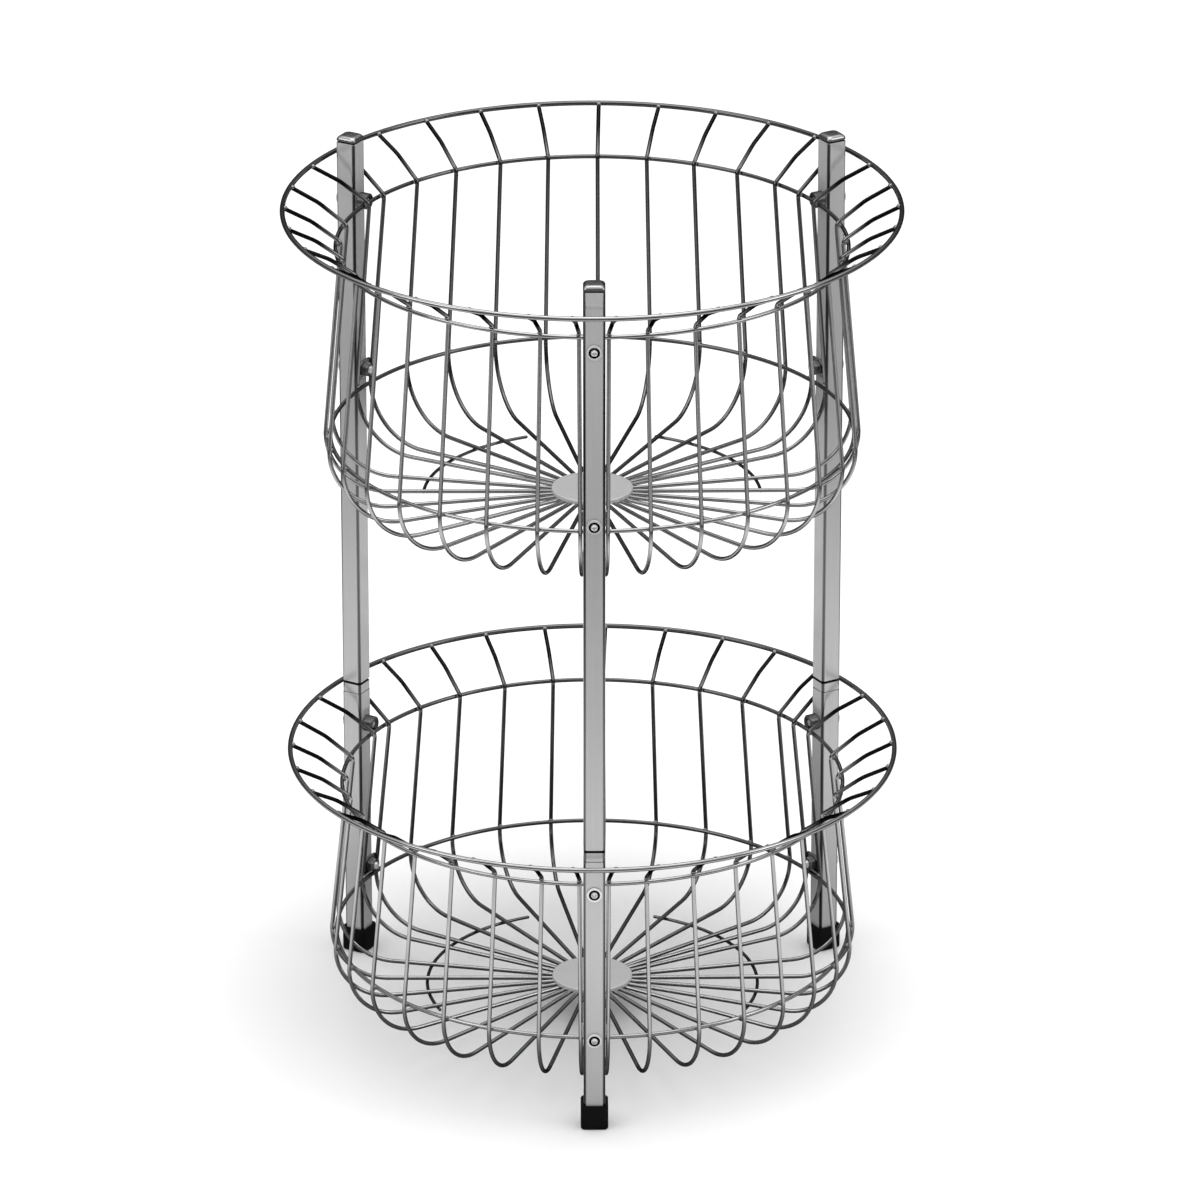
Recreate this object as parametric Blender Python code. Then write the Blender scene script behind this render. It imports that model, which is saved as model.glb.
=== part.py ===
"""A round two-tier vegetable rack: wire baskets welded up from bent ribs, on three square posts.

Each tier has its own three posts, and the upper tier lifts off: its posts stand on the
stacking caps of the lower ones. Lengths are in metres, +Z is up, the floor is at zero under
the middle of the rack, and the front post is on -Y.
"""

import math
from collections import namedtuple

import bmesh
import bpy
from mathutils import Matrix, Quaternion, Vector

# Clearances and overlaps
GAP = 0.0003
WELD = 0.0008
OVERRUN = 0.002

# Basket outline, measured to the middle of the wires
RIM_RADIUS = 0.180
RIM_OVERHANG = 0.0235
NECK_INSET = 0.0103
NECK_DROP = 0.0215
FLARE_SAG = 0.0022
NECK_BEND = 0.007
CORNER_BEND = 0.030
UPPER_DEPTH = 0.178
LOWER_DEPTH = 0.154
UPPER_RING_RISE = 0.038
LOWER_RING_RISE = 0.0345

# Heights of the tiers
BASE_HEIGHT = 0.0172
TIER_CLEARANCE = 0.163

# Wires and the plate in the middle of a base
RIM_WIRE = 0.003
RIB_WIRE = 0.0025
RING_WIRE = 0.0025
ARC_WIRE = 0.002
ARC_RADIUS = 0.0995
DISC_RADIUS = 0.024
DISC_THICKNESS = 0.0025
DISC_SEAT = 0.0025

# Posts, and the two ribs that run beside each of them
POST_WIDTH = 0.0127
POST_WALL = 0.0011
POST_CORNER = 0.002
POST_TOP_RISE = 0.012
SPLIT_RISE = 0.0078
NECK_SPREAD = 0.0006

# Caps on the upper posts, stacking caps in the lower posts, and shoes under them
PLUG_DEPTH = 0.012
PLUG_CHAMFER = 0.001
CAP_HEIGHT = 0.0036
CAP_EDGE = 0.0026
COLLAR_HEIGHT = 0.0066
COLLAR_STEP = 0.0005
SPIGOT_HEIGHT = 0.020
SHOE_WALL = 0.0014
SHOE_SOLE = 0.003
SHOE_HEIGHT = 0.0153
SHOE_CORNER = 0.0028
SHOE_EDGE = 0.0012

# Screws through the posts, and what they screw into
SCREW_DIAMETER = 0.005
HEAD_OVERHANG = 0.0019
HEAD_FLANGE = 0.0006
HEAD_HEIGHT = 0.0026
TIP_CLEARANCE = 0.001
NUT_WALL = 0.0012
NUT_HEIGHT = 0.004
BOSS_WALL = 0.0021
LUG_THICKNESS = 0.0015
LUG_MARGIN = 0.0022
UPPER_NECK_SCREW_DROP = 0.001
LOWER_NECK_SCREW_DROP = -0.003
UPPER_SCREW_RISE = 0.0095
LOWER_SCREW_RISE = 0.0058

# Counts and angles
RIBS_PER_BAY = 9
FIRST_RIB_DEGREES = 12
FRONT_STEP_DEGREES = 11.2
UPPER_BACK_STEP_DEGREES = 11.6
LOWER_BACK_STEP_DEGREES = 12
PAIR_DEGREES = 4
WIDE_PAIR_DEGREES = 6.5
ARC_START_DEGREES = 23
UPPER_ARC_END_DEGREES = 87
LOWER_ARC_END_DEGREES = 113
UPPER_BACK_TURN_DEGREES = -1.7
LOWER_BACK_TURN_DEGREES = -3.0
SHARP_DEGREES = 40
RING_STEPS = 60
LOW_RING_STEPS = 36
ARC_STEPS = 8
RIM_SIDES = 6
RING_SIDES = 5
RIB_SIDES = 5
BEND_STEPS = 2
CORNER_STEPS = 3
TURNED_STEPS = 8
HEXAGON_STEPS = 12
DISC_STEPS = 24
CORNER_ARC_STEPS = 2
DOME_STEPS = 2

# Where along the flare its slight sag is deepest, and how full a screw head's dome is
SAG_SHARE = 0.5
DOME_SHARES = ((0.9, 0.55), (0.45, 1.0))

POSTS = {"front": 270, "right": 30, "left": 150}
WIDE_SIDES = {"front": 0, "right": -1, "left": 1}
UP = Vector((0, 0, 1))

WALL_LINE = RIM_RADIUS - RIM_OVERHANG
NECK_LINE = WALL_LINE - NECK_INSET
RING_OFFSET = (RIB_WIRE + RING_WIRE) / 2 + GAP
LOW_RING_RADIUS = WALL_LINE - RING_OFFSET
RIB_TIP = RIM_RADIUS - RIM_WIRE / 2 - 2 * GAP
RIB_END = DISC_RADIUS - DISC_SEAT
LUG_FACE = WALL_LINE + LUG_THICKNESS / 2
POST_LINE = LUG_FACE + GAP + POST_WIDTH / 2
PAIR_OFFSET = POST_WIDTH / 2 + GAP + RIB_WIRE / 2
POST_BORE = POST_WIDTH - 2 * POST_WALL
BORE_CORNER = max(POST_CORNER - POST_WALL, GAP)
PLUG_WIDTH = POST_BORE - 2 * GAP
SCREW_HOLE = SCREW_DIAMETER + 2 * GAP
LOWER_RIM = BASE_HEIGHT + LOWER_DEPTH
UPPER_RIM = LOWER_RIM + TIER_CLEARANCE + UPPER_DEPTH
SPLIT = LOWER_RIM + SPLIT_RISE

Tier = namedtuple(
    "Tier",
    "name rim depth ring_rise neck_screw_drop screw_rise arc_end back_turn back_step "
    "post_foot post_top origin",
)
LOWER = Tier(
    "lower",
    LOWER_RIM,
    LOWER_DEPTH,
    LOWER_RING_RISE,
    LOWER_NECK_SCREW_DROP,
    LOWER_SCREW_RISE,
    LOWER_ARC_END_DEGREES,
    LOWER_BACK_TURN_DEGREES,
    LOWER_BACK_STEP_DEGREES,
    SHOE_SOLE + GAP,
    SPLIT - COLLAR_HEIGHT - 2 * GAP,
    0,
)
UPPER = Tier(
    "upper",
    UPPER_RIM,
    UPPER_DEPTH,
    UPPER_RING_RISE,
    UPPER_NECK_SCREW_DROP,
    UPPER_SCREW_RISE,
    UPPER_ARC_END_DEGREES,
    UPPER_BACK_TURN_DEGREES,
    UPPER_BACK_STEP_DEGREES,
    SPLIT,
    UPPER_RIM + POST_TOP_RISE,
    SPLIT,
)


def metal(name, colour, roughness, metallic=1.0):
    """A material with one colour, gloss and metalness."""
    made = bpy.data.materials.new(name)
    made.use_nodes = True
    shader = made.node_tree.nodes["Principled BSDF"]
    shader.inputs["Base Color"].default_value = (*colour, 1.0)
    shader.inputs["Roughness"].default_value = roughness
    shader.inputs["Metallic"].default_value = metallic
    made.diffuse_color = (*colour, 1.0)
    return made


def make_materials():
    """One material for each kind of piece."""
    return {
        "wire": metal("polished_wire", (0.62, 0.62, 0.63), 0.16),
        "post": metal("satin_post", (0.45, 0.45, 0.45), 0.42),
        "cap": metal("bright_cap", (0.58, 0.58, 0.59), 0.22),
        "screw": metal("plated_screw", (0.60, 0.60, 0.61), 0.25),
        "shoe": metal("black_shoe", (0.015, 0.015, 0.016), 0.45, 0.0),
    }


def mesh_from(name, model):
    """Turns a bmesh into a mesh with its faces pointing out and its round sides smooth."""
    bmesh.ops.recalc_face_normals(model, faces=model.faces)
    mesh = bpy.data.meshes.new(name)
    model.to_mesh(mesh)
    model.free()
    mesh.shade_smooth()
    mesh.set_sharp_from_angle(angle=math.radians(SHARP_DEGREES))
    return mesh


def add_object(name, mesh, material, parent, height=0.0, azimuth=None):
    """Puts a mesh in the scene, at the middle of the rack or at the post on that azimuth."""
    made = bpy.data.objects.new(name, mesh)
    bpy.context.scene.collection.objects.link(made)
    if material and not mesh.materials:
        mesh.materials.append(material)
    made.parent = parent
    made.location = (0, 0, height)
    if azimuth is not None:
        turn = math.radians(azimuth)
        made.location = (POST_LINE * math.cos(turn), POST_LINE * math.sin(turn), height)
        made.rotation_euler = (0, 0, turn)
    return made


def add_cutter(name, mesh, parent, height=0.0, azimuth=None):
    """A helper that joins or cuts another object and isn't a piece itself."""
    made = add_object(name, mesh, None, parent, height, azimuth)
    made.hide_render = True
    made.display_type = "WIRE"
    return made


def join_or_cut(target, helper, operation):
    """Adds the Boolean that joins the helper to the target, or cuts it out."""
    modifier = target.modifiers.new(helper.name, "BOOLEAN")
    modifier.operation = operation
    modifier.solver = "EXACT"
    modifier.object = helper


# Paths and sections


def rounded_path(corners, steps):
    """The path through the corners, with an arc of the given radius and steps at each."""
    points = [corners[0][0]]
    for (before, _), (corner, radius), (after, _), count in zip(
        corners, corners[1:], corners[2:], steps
    ):
        back = (before - corner).normalized()
        ahead = (after - corner).normalized()
        half = back.angle(ahead) / 2
        if not radius:
            points.append(corner)
            continue
        centre = corner + (back + ahead).normalized() * radius / math.sin(half)
        start = corner + back * radius / math.tan(half) - centre
        end = corner + ahead * radius / math.tan(half) - centre
        turn = start.rotation_difference(end)
        for step in range(count + 1):
            points.append(centre + Quaternion().slerp(turn, step / count) @ start)
    points.append(corners[-1][0])
    return points


def arc_path(radius, start, end, steps):
    """Points along a level arc from one azimuth to another, in degrees."""
    turns = [math.radians(start + (end - start) * k / steps) for k in range(steps + 1)]
    return [Vector((radius * math.cos(turn), radius * math.sin(turn), 0)) for turn in turns]


def heading(path, index, closed):
    """The direction of the path at a point: halfway between the runs that meet there."""
    count = len(path)
    total = Vector()
    if closed or index > 0:
        total += (path[index] - path[index - 1]).normalized()
    if closed or index < count - 1:
        total += (path[(index + 1) % count] - path[index]).normalized()
    return total.normalized()


def add_wire(model, path, diameter, sides, normal, closed=False):
    """Sweeps a round wire along the path, which nowhere runs along the normal."""
    loops = []
    for index, point in enumerate(path):
        ahead = heading(path, index, closed)
        across = ahead.cross(normal).normalized()
        upward = across.cross(ahead)
        loop = []
        for side in range(sides):
            turn = 2 * math.pi * side / sides
            reach = across * math.cos(turn) + upward * math.sin(turn)
            loop.append(model.verts.new(point + reach * diameter / 2))
        loops.append(loop)
    bridge(model, loops, closed)


def bridge(model, loops, closed):
    """Joins loops of vertices side by side; an open run of them gets its two end faces."""
    following = loops[1:] + loops[:1] if closed else loops[1:]
    for low, high in zip(loops, following):
        for side in range(len(low)):
            after = (side + 1) % len(low)
            model.faces.new((low[side], low[after], high[after], high[side]))
    if not closed:
        model.faces.new(loops[0])
        model.faces.new(loops[-1])


def square_section(width, corner, height):
    """A level square with round corners, as points."""
    points = []
    reach = width / 2 - corner
    for quarter in range(4):
        middle = math.pi / 4 + quarter * math.pi / 2
        outward = math.copysign(reach, math.cos(middle))
        sideways = math.copysign(reach, math.sin(middle))
        centre = Vector((outward, sideways, height))
        for step in range(CORNER_ARC_STEPS + 1):
            turn = quarter * math.pi / 2 + step * math.pi / 2 / CORNER_ARC_STEPS
            points.append(centre + corner * Vector((math.cos(turn), math.sin(turn), 0)))
    return points


def round_section(diameter, along, height=0.0, steps=TURNED_STEPS):
    """A circle round an axis that points away from the middle of the rack."""
    turns = [2 * math.pi * k / steps for k in range(steps)]
    radius = diameter / 2
    return [Vector((along, radius * math.cos(t), height + radius * math.sin(t))) for t in turns]


def hexagon_section(flats, along):
    """A hexagon round that axis, one flat on top, with a point in the middle of each flat."""
    points = []
    for k in range(HEXAGON_STEPS):
        turn = 2 * math.pi * k / HEXAGON_STEPS
        on_corner = k % 2 == 0
        radius = flats / 2 / math.cos(math.pi / 6) if on_corner else flats / 2
        points.append(Vector((along, radius * math.cos(turn), radius * math.sin(turn))))
    return points


def loft(name, sections, closed=False):
    """A solid through sections of equal counts; closed joins the last one to the first."""
    model = bmesh.new()
    add_loft(model, sections, closed)
    return mesh_from(name, model)


def add_loft(model, sections, closed=False):
    """Adds such a solid to a model."""
    loops = [[model.verts.new(point) for point in section] for section in sections]
    bridge(model, loops, closed)


# Baskets


def rib_corners(tier, spread):
    """Corners of one rib from the rim to the disc, as distance out, sideways and up.

    spread holds its sideways offset at the rim, the neck, the wall and the disc.
    """
    at_rim, at_neck, at_wall, at_disc = spread

    def corner(radius, sideways, height, bend=0.0):
        return Vector((math.sqrt(radius**2 - sideways**2), sideways, height)), bend

    middle = NECK_LINE + (RIB_TIP - NECK_LINE) * SAG_SHARE
    at_middle = at_neck + (at_rim - at_neck) * SAG_SHARE
    low_ring = tier.ring_rise - tier.depth
    return [
        corner(RIB_TIP, at_rim, 0),
        corner(middle, at_middle, FLARE_SAG - NECK_DROP * SAG_SHARE),
        corner(NECK_LINE, at_neck, -NECK_DROP, NECK_BEND),
        corner(WALL_LINE, at_wall, low_ring),
        corner(WALL_LINE, at_wall, -tier.depth, CORNER_BEND),
        corner(RIB_END, at_disc, -tier.depth),
    ]


def neck_ring_place(tier):
    """Radius and height, from the rim, of the neck ring: it lies in the crook of the ribs."""
    corners = [corner for corner, _ in rib_corners(tier, (0, 0, 0, 0))]
    neck = corners[2]
    flare = (corners[1] - neck).normalized()
    wall = (corners[3] - neck).normalized()
    crook = NECK_BEND / math.sin(flare.angle(wall) / 2) - NECK_BEND
    place = neck + (flare + wall).normalized() * (crook + RING_OFFSET)
    return place.x, place.z


def add_rib(model, tier, azimuth, spread=(0, 0, 0, 0)):
    """One bent rib on an azimuth in degrees."""
    turn = Matrix.Rotation(math.radians(azimuth), 3, "Z")
    path = rounded_path(rib_corners(tier, spread), (0, BEND_STEPS, 0, CORNER_STEPS))
    sideways = turn @ Vector((0, 1, 0))
    add_wire(model, [turn @ point for point in path], RIB_WIRE, RIB_SIDES, sideways)


def regular_azimuths(tier):
    """Azimuths of the single ribs: even steps from the front post, and across the back bay."""
    azimuths = []
    back = (POSTS["right"] + POSTS["left"]) / 2 + tier.back_turn
    for rib in range(RIBS_PER_BAY):
        beside = FIRST_RIB_DEGREES + rib * FRONT_STEP_DEGREES
        across = (rib - (RIBS_PER_BAY - 1) / 2) * tier.back_step
        azimuths += [POSTS["front"] - beside, POSTS["front"] + beside, back + across]
    return azimuths


def add_ribs(model, tier):
    """All ribs of a basket: the single ones, and a pair that straddles each post."""
    for azimuth in regular_azimuths(tier):
        add_rib(model, tier, azimuth)
    for name, azimuth in POSTS.items():
        for side in (-1, 1):
            fanned = WIDE_PAIR_DEGREES if side == WIDE_SIDES[name] else PAIR_DEGREES
            share = side * math.sin(math.radians(fanned))
            at_neck = side * (PAIR_OFFSET + NECK_SPREAD)
            spread = (RIB_TIP * share, at_neck, side * PAIR_OFFSET, RIB_END * share)
            add_rib(model, tier, azimuth, spread)


def disc_mesh(tier):
    """The plate that the ribs are welded under, in the middle of the base."""
    under = RIB_WIRE / 2 - WELD - tier.depth
    sections = []
    for height in (under, under + DISC_THICKNESS):
        ring = arc_path(DISC_RADIUS, 0, 360, DISC_STEPS)[:-1]
        sections.append([point + height * UP for point in ring])
    return loft(tier.name + "_disc", sections)


def lug_mesh(tier):
    """Small plates that bridge each pair of ribs, flat against the post."""
    model = bmesh.new()
    width = 2 * (PAIR_OFFSET - RIB_WIRE / 2 + WELD)
    height = SCREW_HOLE + 2 * LUG_MARGIN
    middle = wall_screw_height(tier)
    for azimuth in POSTS.values():
        turn = Matrix.Rotation(math.radians(azimuth), 4, "Z")
        shift = Matrix.Translation((WALL_LINE, 0, middle))
        size = Matrix.Diagonal((LUG_THICKNESS, width, height, 1))
        bmesh.ops.create_cube(model, size=1, matrix=turn @ shift @ size)
    return mesh_from(tier.name + "_lugs", model)


def wall_screw_height(tier):
    """Height of the lower screw from the rim, which is at zero."""
    return tier.ring_rise - tier.depth + tier.screw_rise


def neck_screw_height(tier):
    """Height of the upper screw from the rim."""
    return neck_ring_place(tier)[1] - tier.neck_screw_drop


def lug_hole_mesh(tier):
    """Cutters for the screw holes in the lugs."""
    model = bmesh.new()
    for azimuth in POSTS.values():
        turn = Matrix.Rotation(math.radians(azimuth), 3, "Z")
        sections = []
        for along in (WALL_LINE - LUG_THICKNESS - OVERRUN, WALL_LINE + LUG_THICKNESS + OVERRUN):
            ring = round_section(SCREW_HOLE, along, wall_screw_height(tier))
            sections.append([turn @ point for point in ring])
        add_loft(model, sections)
    return mesh_from(tier.name + "_lug_holes", model)


def make_cage(tier, frame, materials):
    """Ribs, disc and lugs of one basket, joined as the welds join them."""
    height = tier.rim - tier.origin
    model = bmesh.new()
    add_ribs(model, tier)
    mesh = mesh_from(tier.name + "_basket_cage", model)
    cage = add_object(mesh.name, mesh, materials["wire"], frame, height)
    disc = add_cutter(tier.name + "_disc", disc_mesh(tier), frame, height)
    lugs = add_cutter(tier.name + "_lugs", lug_mesh(tier), frame, height)
    holes = add_cutter(tier.name + "_lug_holes", lug_hole_mesh(tier), frame, height)
    join_or_cut(cage, disc, "UNION")
    join_or_cut(cage, lugs, "UNION")
    join_or_cut(cage, holes, "DIFFERENCE")


def make_ring(name, radius, wire, facets, height, frame, material):
    """A closed ring of round wire; facets are its steps round and its sides."""
    steps, sides = facets
    model = bmesh.new()
    path = arc_path(radius, 0, 360, steps)[:-1]
    add_wire(model, path, wire, sides, UP, closed=True)
    add_object(name, mesh_from(name, model), material, frame, height)


def make_rings(tier, frame, materials):
    """The rim, the neck ring outside the ribs and the low ring inside them."""
    wire = materials["wire"]
    rim = tier.rim - tier.origin
    facets = (RING_STEPS, RIM_SIDES)
    make_ring(tier.name + "_rim_ring", RIM_RADIUS, RIM_WIRE, facets, rim, frame, wire)
    radius, height = neck_ring_place(tier)
    neck = rim + height
    facets = (RING_STEPS, RING_SIDES)
    make_ring(tier.name + "_neck_ring", radius, RING_WIRE, facets, neck, frame, wire)
    low = rim + tier.ring_rise - tier.depth
    facets = (LOW_RING_STEPS, RING_SIDES)
    make_ring(tier.name + "_low_ring", LOW_RING_RADIUS, RING_WIRE, facets, low, frame, wire)


def make_base_arcs(tier, frame, materials):
    """Two wires under the base ribs, left and right, that keep them apart."""
    under = tier.rim - tier.origin - tier.depth - (RIB_WIRE + ARC_WIRE) / 2 - GAP
    for side, sign in (("left", 1), ("right", -1)):
        name = f"{tier.name}_base_arc_{side}"
        model = bmesh.new()
        start = 90 + sign * ARC_START_DEGREES
        end = 90 + sign * tier.arc_end
        add_wire(model, arc_path(ARC_RADIUS, start, end, ARC_STEPS), ARC_WIRE, RING_SIDES, UP)
        add_object(name, mesh_from(name, model), materials["wire"], frame, under)


# Posts


def post_mesh(tier):
    """A length of square tube, open at both ends, from its foot to its top."""
    length = tier.post_top - tier.post_foot
    sections = [
        square_section(POST_WIDTH, POST_CORNER, 0),
        square_section(POST_WIDTH, POST_CORNER, length),
        square_section(POST_BORE, BORE_CORNER, length),
        square_section(POST_BORE, BORE_CORNER, 0),
    ]
    return loft(tier.name + "_post", sections, closed=True)


def post_hole_mesh(tier):
    """Cutters for the two screw holes that run right through a post."""
    model = bmesh.new()
    reach = POST_WIDTH / 2 + OVERRUN
    for screw in (neck_screw_height(tier), wall_screw_height(tier)):
        height = tier.rim + screw - tier.post_foot
        sections = [round_section(SCREW_HOLE, along, height) for along in (-reach, reach)]
        add_loft(model, sections)
    return mesh_from(tier.name + "_post_holes", model)


def make_posts(tier, frame, materials):
    """The three posts of a tier, drilled for its screws."""
    tube = post_mesh(tier)
    drill = post_hole_mesh(tier)
    height = tier.post_foot - tier.origin
    for side, azimuth in POSTS.items():
        name = f"{tier.name}_post_{side}"
        post = add_object(name, tube, materials["post"], frame, height, azimuth)
        holes = add_cutter(name + "_holes", drill, frame, height, azimuth)
        join_or_cut(post, holes, "DIFFERENCE")


def cap_mesh():
    """A domed cap with a plug that fits the tube; zero is the tube's top edge."""
    corner = BORE_CORNER
    sections = [
        square_section(PLUG_WIDTH - 2 * PLUG_CHAMFER, corner, -PLUG_DEPTH),
        square_section(PLUG_WIDTH, corner, PLUG_CHAMFER - PLUG_DEPTH),
        square_section(PLUG_WIDTH, corner, GAP),
    ]
    shoulder = GAP + CAP_HEIGHT - CAP_EDGE
    sections.append(square_section(POST_WIDTH, POST_CORNER, GAP))
    for step in range(DOME_STEPS + 1):
        turn = step * math.pi / 2 / DOME_STEPS
        inset = CAP_EDGE * (1 - math.cos(turn))
        rise = CAP_EDGE * math.sin(turn)
        sections.append(square_section(POST_WIDTH - 2 * inset, POST_CORNER, shoulder + rise))
    return loft("post_cap", sections)


def stacking_cap_mesh():
    """Plug, collar and spigot that join a lower post to an upper one; zero is the lower top."""
    collar = POST_WIDTH - 2 * COLLAR_STEP
    top = GAP + COLLAR_HEIGHT
    tip = top + GAP + SPIGOT_HEIGHT
    sections = [
        square_section(PLUG_WIDTH - 2 * PLUG_CHAMFER, BORE_CORNER, -PLUG_DEPTH),
        square_section(PLUG_WIDTH, BORE_CORNER, PLUG_CHAMFER - PLUG_DEPTH),
        square_section(PLUG_WIDTH, BORE_CORNER, GAP),
        square_section(collar, POST_CORNER, GAP),
        square_section(collar, POST_CORNER, top),
        square_section(PLUG_WIDTH, BORE_CORNER, top),
        square_section(PLUG_WIDTH, BORE_CORNER, tip - PLUG_CHAMFER),
        square_section(PLUG_WIDTH - 2 * PLUG_CHAMFER, BORE_CORNER, tip),
    ]
    return loft("stacking_cap", sections)


def make_caps(tier, frame, materials):
    """What closes the top of each post: a domed cap, or a stacking cap below the upper tier."""
    kind, mesh = ("post_cap", cap_mesh()) if tier is UPPER else ("stacking_cap", stacking_cap_mesh())
    for side, azimuth in POSTS.items():
        name = f"{kind}_{side}"
        add_object(name, mesh, materials["cap"], frame, tier.post_top - tier.origin, azimuth)


def shoe_mesh():
    """A plastic shoe: a cup round the post's foot."""
    hollow = POST_WIDTH + 2 * GAP
    width = hollow + 2 * SHOE_WALL
    sections = [
        square_section(width - 2 * SHOE_EDGE, SHOE_CORNER - SHOE_EDGE, 0),
        square_section(width, SHOE_CORNER, SHOE_EDGE),
        square_section(width, SHOE_CORNER, SHOE_HEIGHT),
        square_section(hollow, POST_CORNER, SHOE_HEIGHT),
        square_section(hollow, POST_CORNER, SHOE_SOLE),
    ]
    return loft("shoe", sections)


def make_shoes(frame, materials):
    """A shoe under each lower post."""
    mesh = shoe_mesh()
    for side, azimuth in POSTS.items():
        add_object("foot_" + side, mesh, materials["shoe"], frame, 0, azimuth)


# Fasteners; zero along their axis is the middle of the post


def screw_mesh(name, tip):
    """A round-headed screw from its tip, outside the post, to its head."""
    seat = POST_WIDTH / 2 + GAP
    head = SCREW_DIAMETER + 2 * HEAD_OVERHANG
    sections = [
        round_section(SCREW_DIAMETER, tip),
        round_section(SCREW_DIAMETER, seat),
        round_section(head, seat),
        round_section(head, seat + HEAD_FLANGE),
    ]
    dome = HEAD_HEIGHT - HEAD_FLANGE
    for width_share, height_share in DOME_SHARES:
        along = seat + HEAD_FLANGE + dome * height_share
        sections.append(round_section((head - 2 * HEAD_FLANGE) * width_share, along))
    return loft(name, sections)


def bored_piece(name, outline, outer, start, end):
    """A boss or a nut: an outline round a screw hole, between two places along the axis."""
    steps = len(outline(outer, start))
    sections = [
        outline(outer, start),
        outline(outer, end),
        round_section(SCREW_HOLE, end, steps=steps),
        round_section(SCREW_HOLE, start, steps=steps),
    ]
    return loft(name, sections, closed=True)


def make_fasteners(tier, frame, materials):
    """At each post a screw into a boss on the neck ring, and one into a nut behind the lug."""
    boss_start = neck_ring_place(tier)[0] + RING_WIRE / 2 + GAP - POST_LINE
    boss_end = -POST_WIDTH / 2 - GAP
    nut_end = WALL_LINE - LUG_THICKNESS / 2 - GAP - POST_LINE
    nut_start = nut_end - NUT_HEIGHT
    boss = bored_piece(
        tier.name + "_neck_boss", round_section, SCREW_HOLE + 2 * BOSS_WALL, boss_start, boss_end
    )
    nut = bored_piece(
        tier.name + "_wall_nut", hexagon_section, SCREW_HOLE + 2 * NUT_WALL, nut_start, nut_end
    )
    neck_screw = screw_mesh(tier.name + "_neck_screw", boss_start + TIP_CLEARANCE)
    wall_screw = screw_mesh(tier.name + "_wall_screw", nut_start - TIP_CLEARANCE)
    neck = tier.rim + neck_screw_height(tier) - tier.origin
    wall = tier.rim + wall_screw_height(tier) - tier.origin
    pieces = ((neck_screw, neck), (boss, neck), (wall_screw, wall), (nut, wall))
    for mesh, height in pieces:
        for side, azimuth in POSTS.items():
            add_object(f"{mesh.name}_{side}", mesh, materials["screw"], frame, height, azimuth)


def make_tier(tier, materials):
    """One basket with its posts and fasteners, under an empty on the line that it lifts along."""
    frame = bpy.data.objects.new(tier.name + "_tier", None)
    frame.location = (0, 0, tier.origin)
    bpy.context.scene.collection.objects.link(frame)
    make_cage(tier, frame, materials)
    make_rings(tier, frame, materials)
    make_base_arcs(tier, frame, materials)
    make_posts(tier, frame, materials)
    make_caps(tier, frame, materials)
    make_fasteners(tier, frame, materials)
    return frame


def main():
    """Clears the scene and builds the rack."""
    for old in list(bpy.data.objects):
        bpy.data.objects.remove(old, do_unlink=True)
    materials = make_materials()
    lower = make_tier(LOWER, materials)
    make_tier(UPPER, materials)
    make_shoes(lower, materials)
    bpy.context.view_layer.update()


main()
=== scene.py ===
# %% [markdown]
# # A two-tier wire vegetable rack
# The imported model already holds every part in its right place. This lesson loads it, builds
# finer wires, tubes, caps and screws over its plain solids, and gives each one a finish.
# Every length is in metres, the floor is at zero and the front post stands on -Y.

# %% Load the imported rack
import math

import bmesh
import bpy
from mathutils import Matrix, Vector


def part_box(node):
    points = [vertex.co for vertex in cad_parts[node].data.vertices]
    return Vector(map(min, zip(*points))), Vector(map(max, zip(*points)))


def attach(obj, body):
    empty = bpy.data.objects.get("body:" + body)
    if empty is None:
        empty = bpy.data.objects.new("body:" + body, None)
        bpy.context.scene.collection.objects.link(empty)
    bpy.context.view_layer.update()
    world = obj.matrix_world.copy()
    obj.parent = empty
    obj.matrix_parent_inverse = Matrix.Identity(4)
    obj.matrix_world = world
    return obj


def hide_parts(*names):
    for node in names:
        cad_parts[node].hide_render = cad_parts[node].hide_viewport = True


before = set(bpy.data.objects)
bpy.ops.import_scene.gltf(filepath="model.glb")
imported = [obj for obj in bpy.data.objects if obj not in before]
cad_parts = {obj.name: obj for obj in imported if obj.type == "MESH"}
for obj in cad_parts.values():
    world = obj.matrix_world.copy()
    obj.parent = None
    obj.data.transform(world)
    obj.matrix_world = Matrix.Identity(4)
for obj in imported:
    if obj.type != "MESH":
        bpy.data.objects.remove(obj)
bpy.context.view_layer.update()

# %% [markdown]
# ## Sizes that the wires share
# A real basket is bent on jigs, so a handful of sizes settles every rib: how far out the rim,
# the neck and the wall are, and how deep the basket is. Naming them once keeps the ribs, the
# hoops and the welds together when one of them changes.

# %% Sizes of the two baskets
WIRE = 0.0025
RIM_WIRE = 0.003
ARC_WIRE = 0.002
RIM_RADIUS = 0.180
NECK_RADIUS = 0.1462
WALL_RADIUS = 0.1565
NECK_DROP = 0.0215
FLARE_SAG = 0.0022
NECK_BEND = 0.0045
SLIGHT_BEND = 0.03
CORNER_ROOM = 0.001
HOOP_OFFSET = 0.0028
DISC_RADIUS = 0.024
RIB_END = 0.0195
ARC_RADIUS = 0.0995
PAIR_OFFSET = 0.0079
PAIR_NECK_OFFSET = 0.0085
FIRST_POST = math.radians(30)
POST_TURN = math.radians(120)
GAP = 0.0003
TIERS = {
    "lower": {"arc_end": 113, "back_turn": -3.0, "back_step": 12.0, "base_shade": 0.2},
    "upper": {"arc_end": 87, "back_turn": -1.7, "back_step": 11.6, "base_shade": 0.45},
}


def middle_height(node):
    """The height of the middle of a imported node."""
    low_corner, high_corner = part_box(node)
    return (low_corner.z + high_corner.z) / 2


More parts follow.
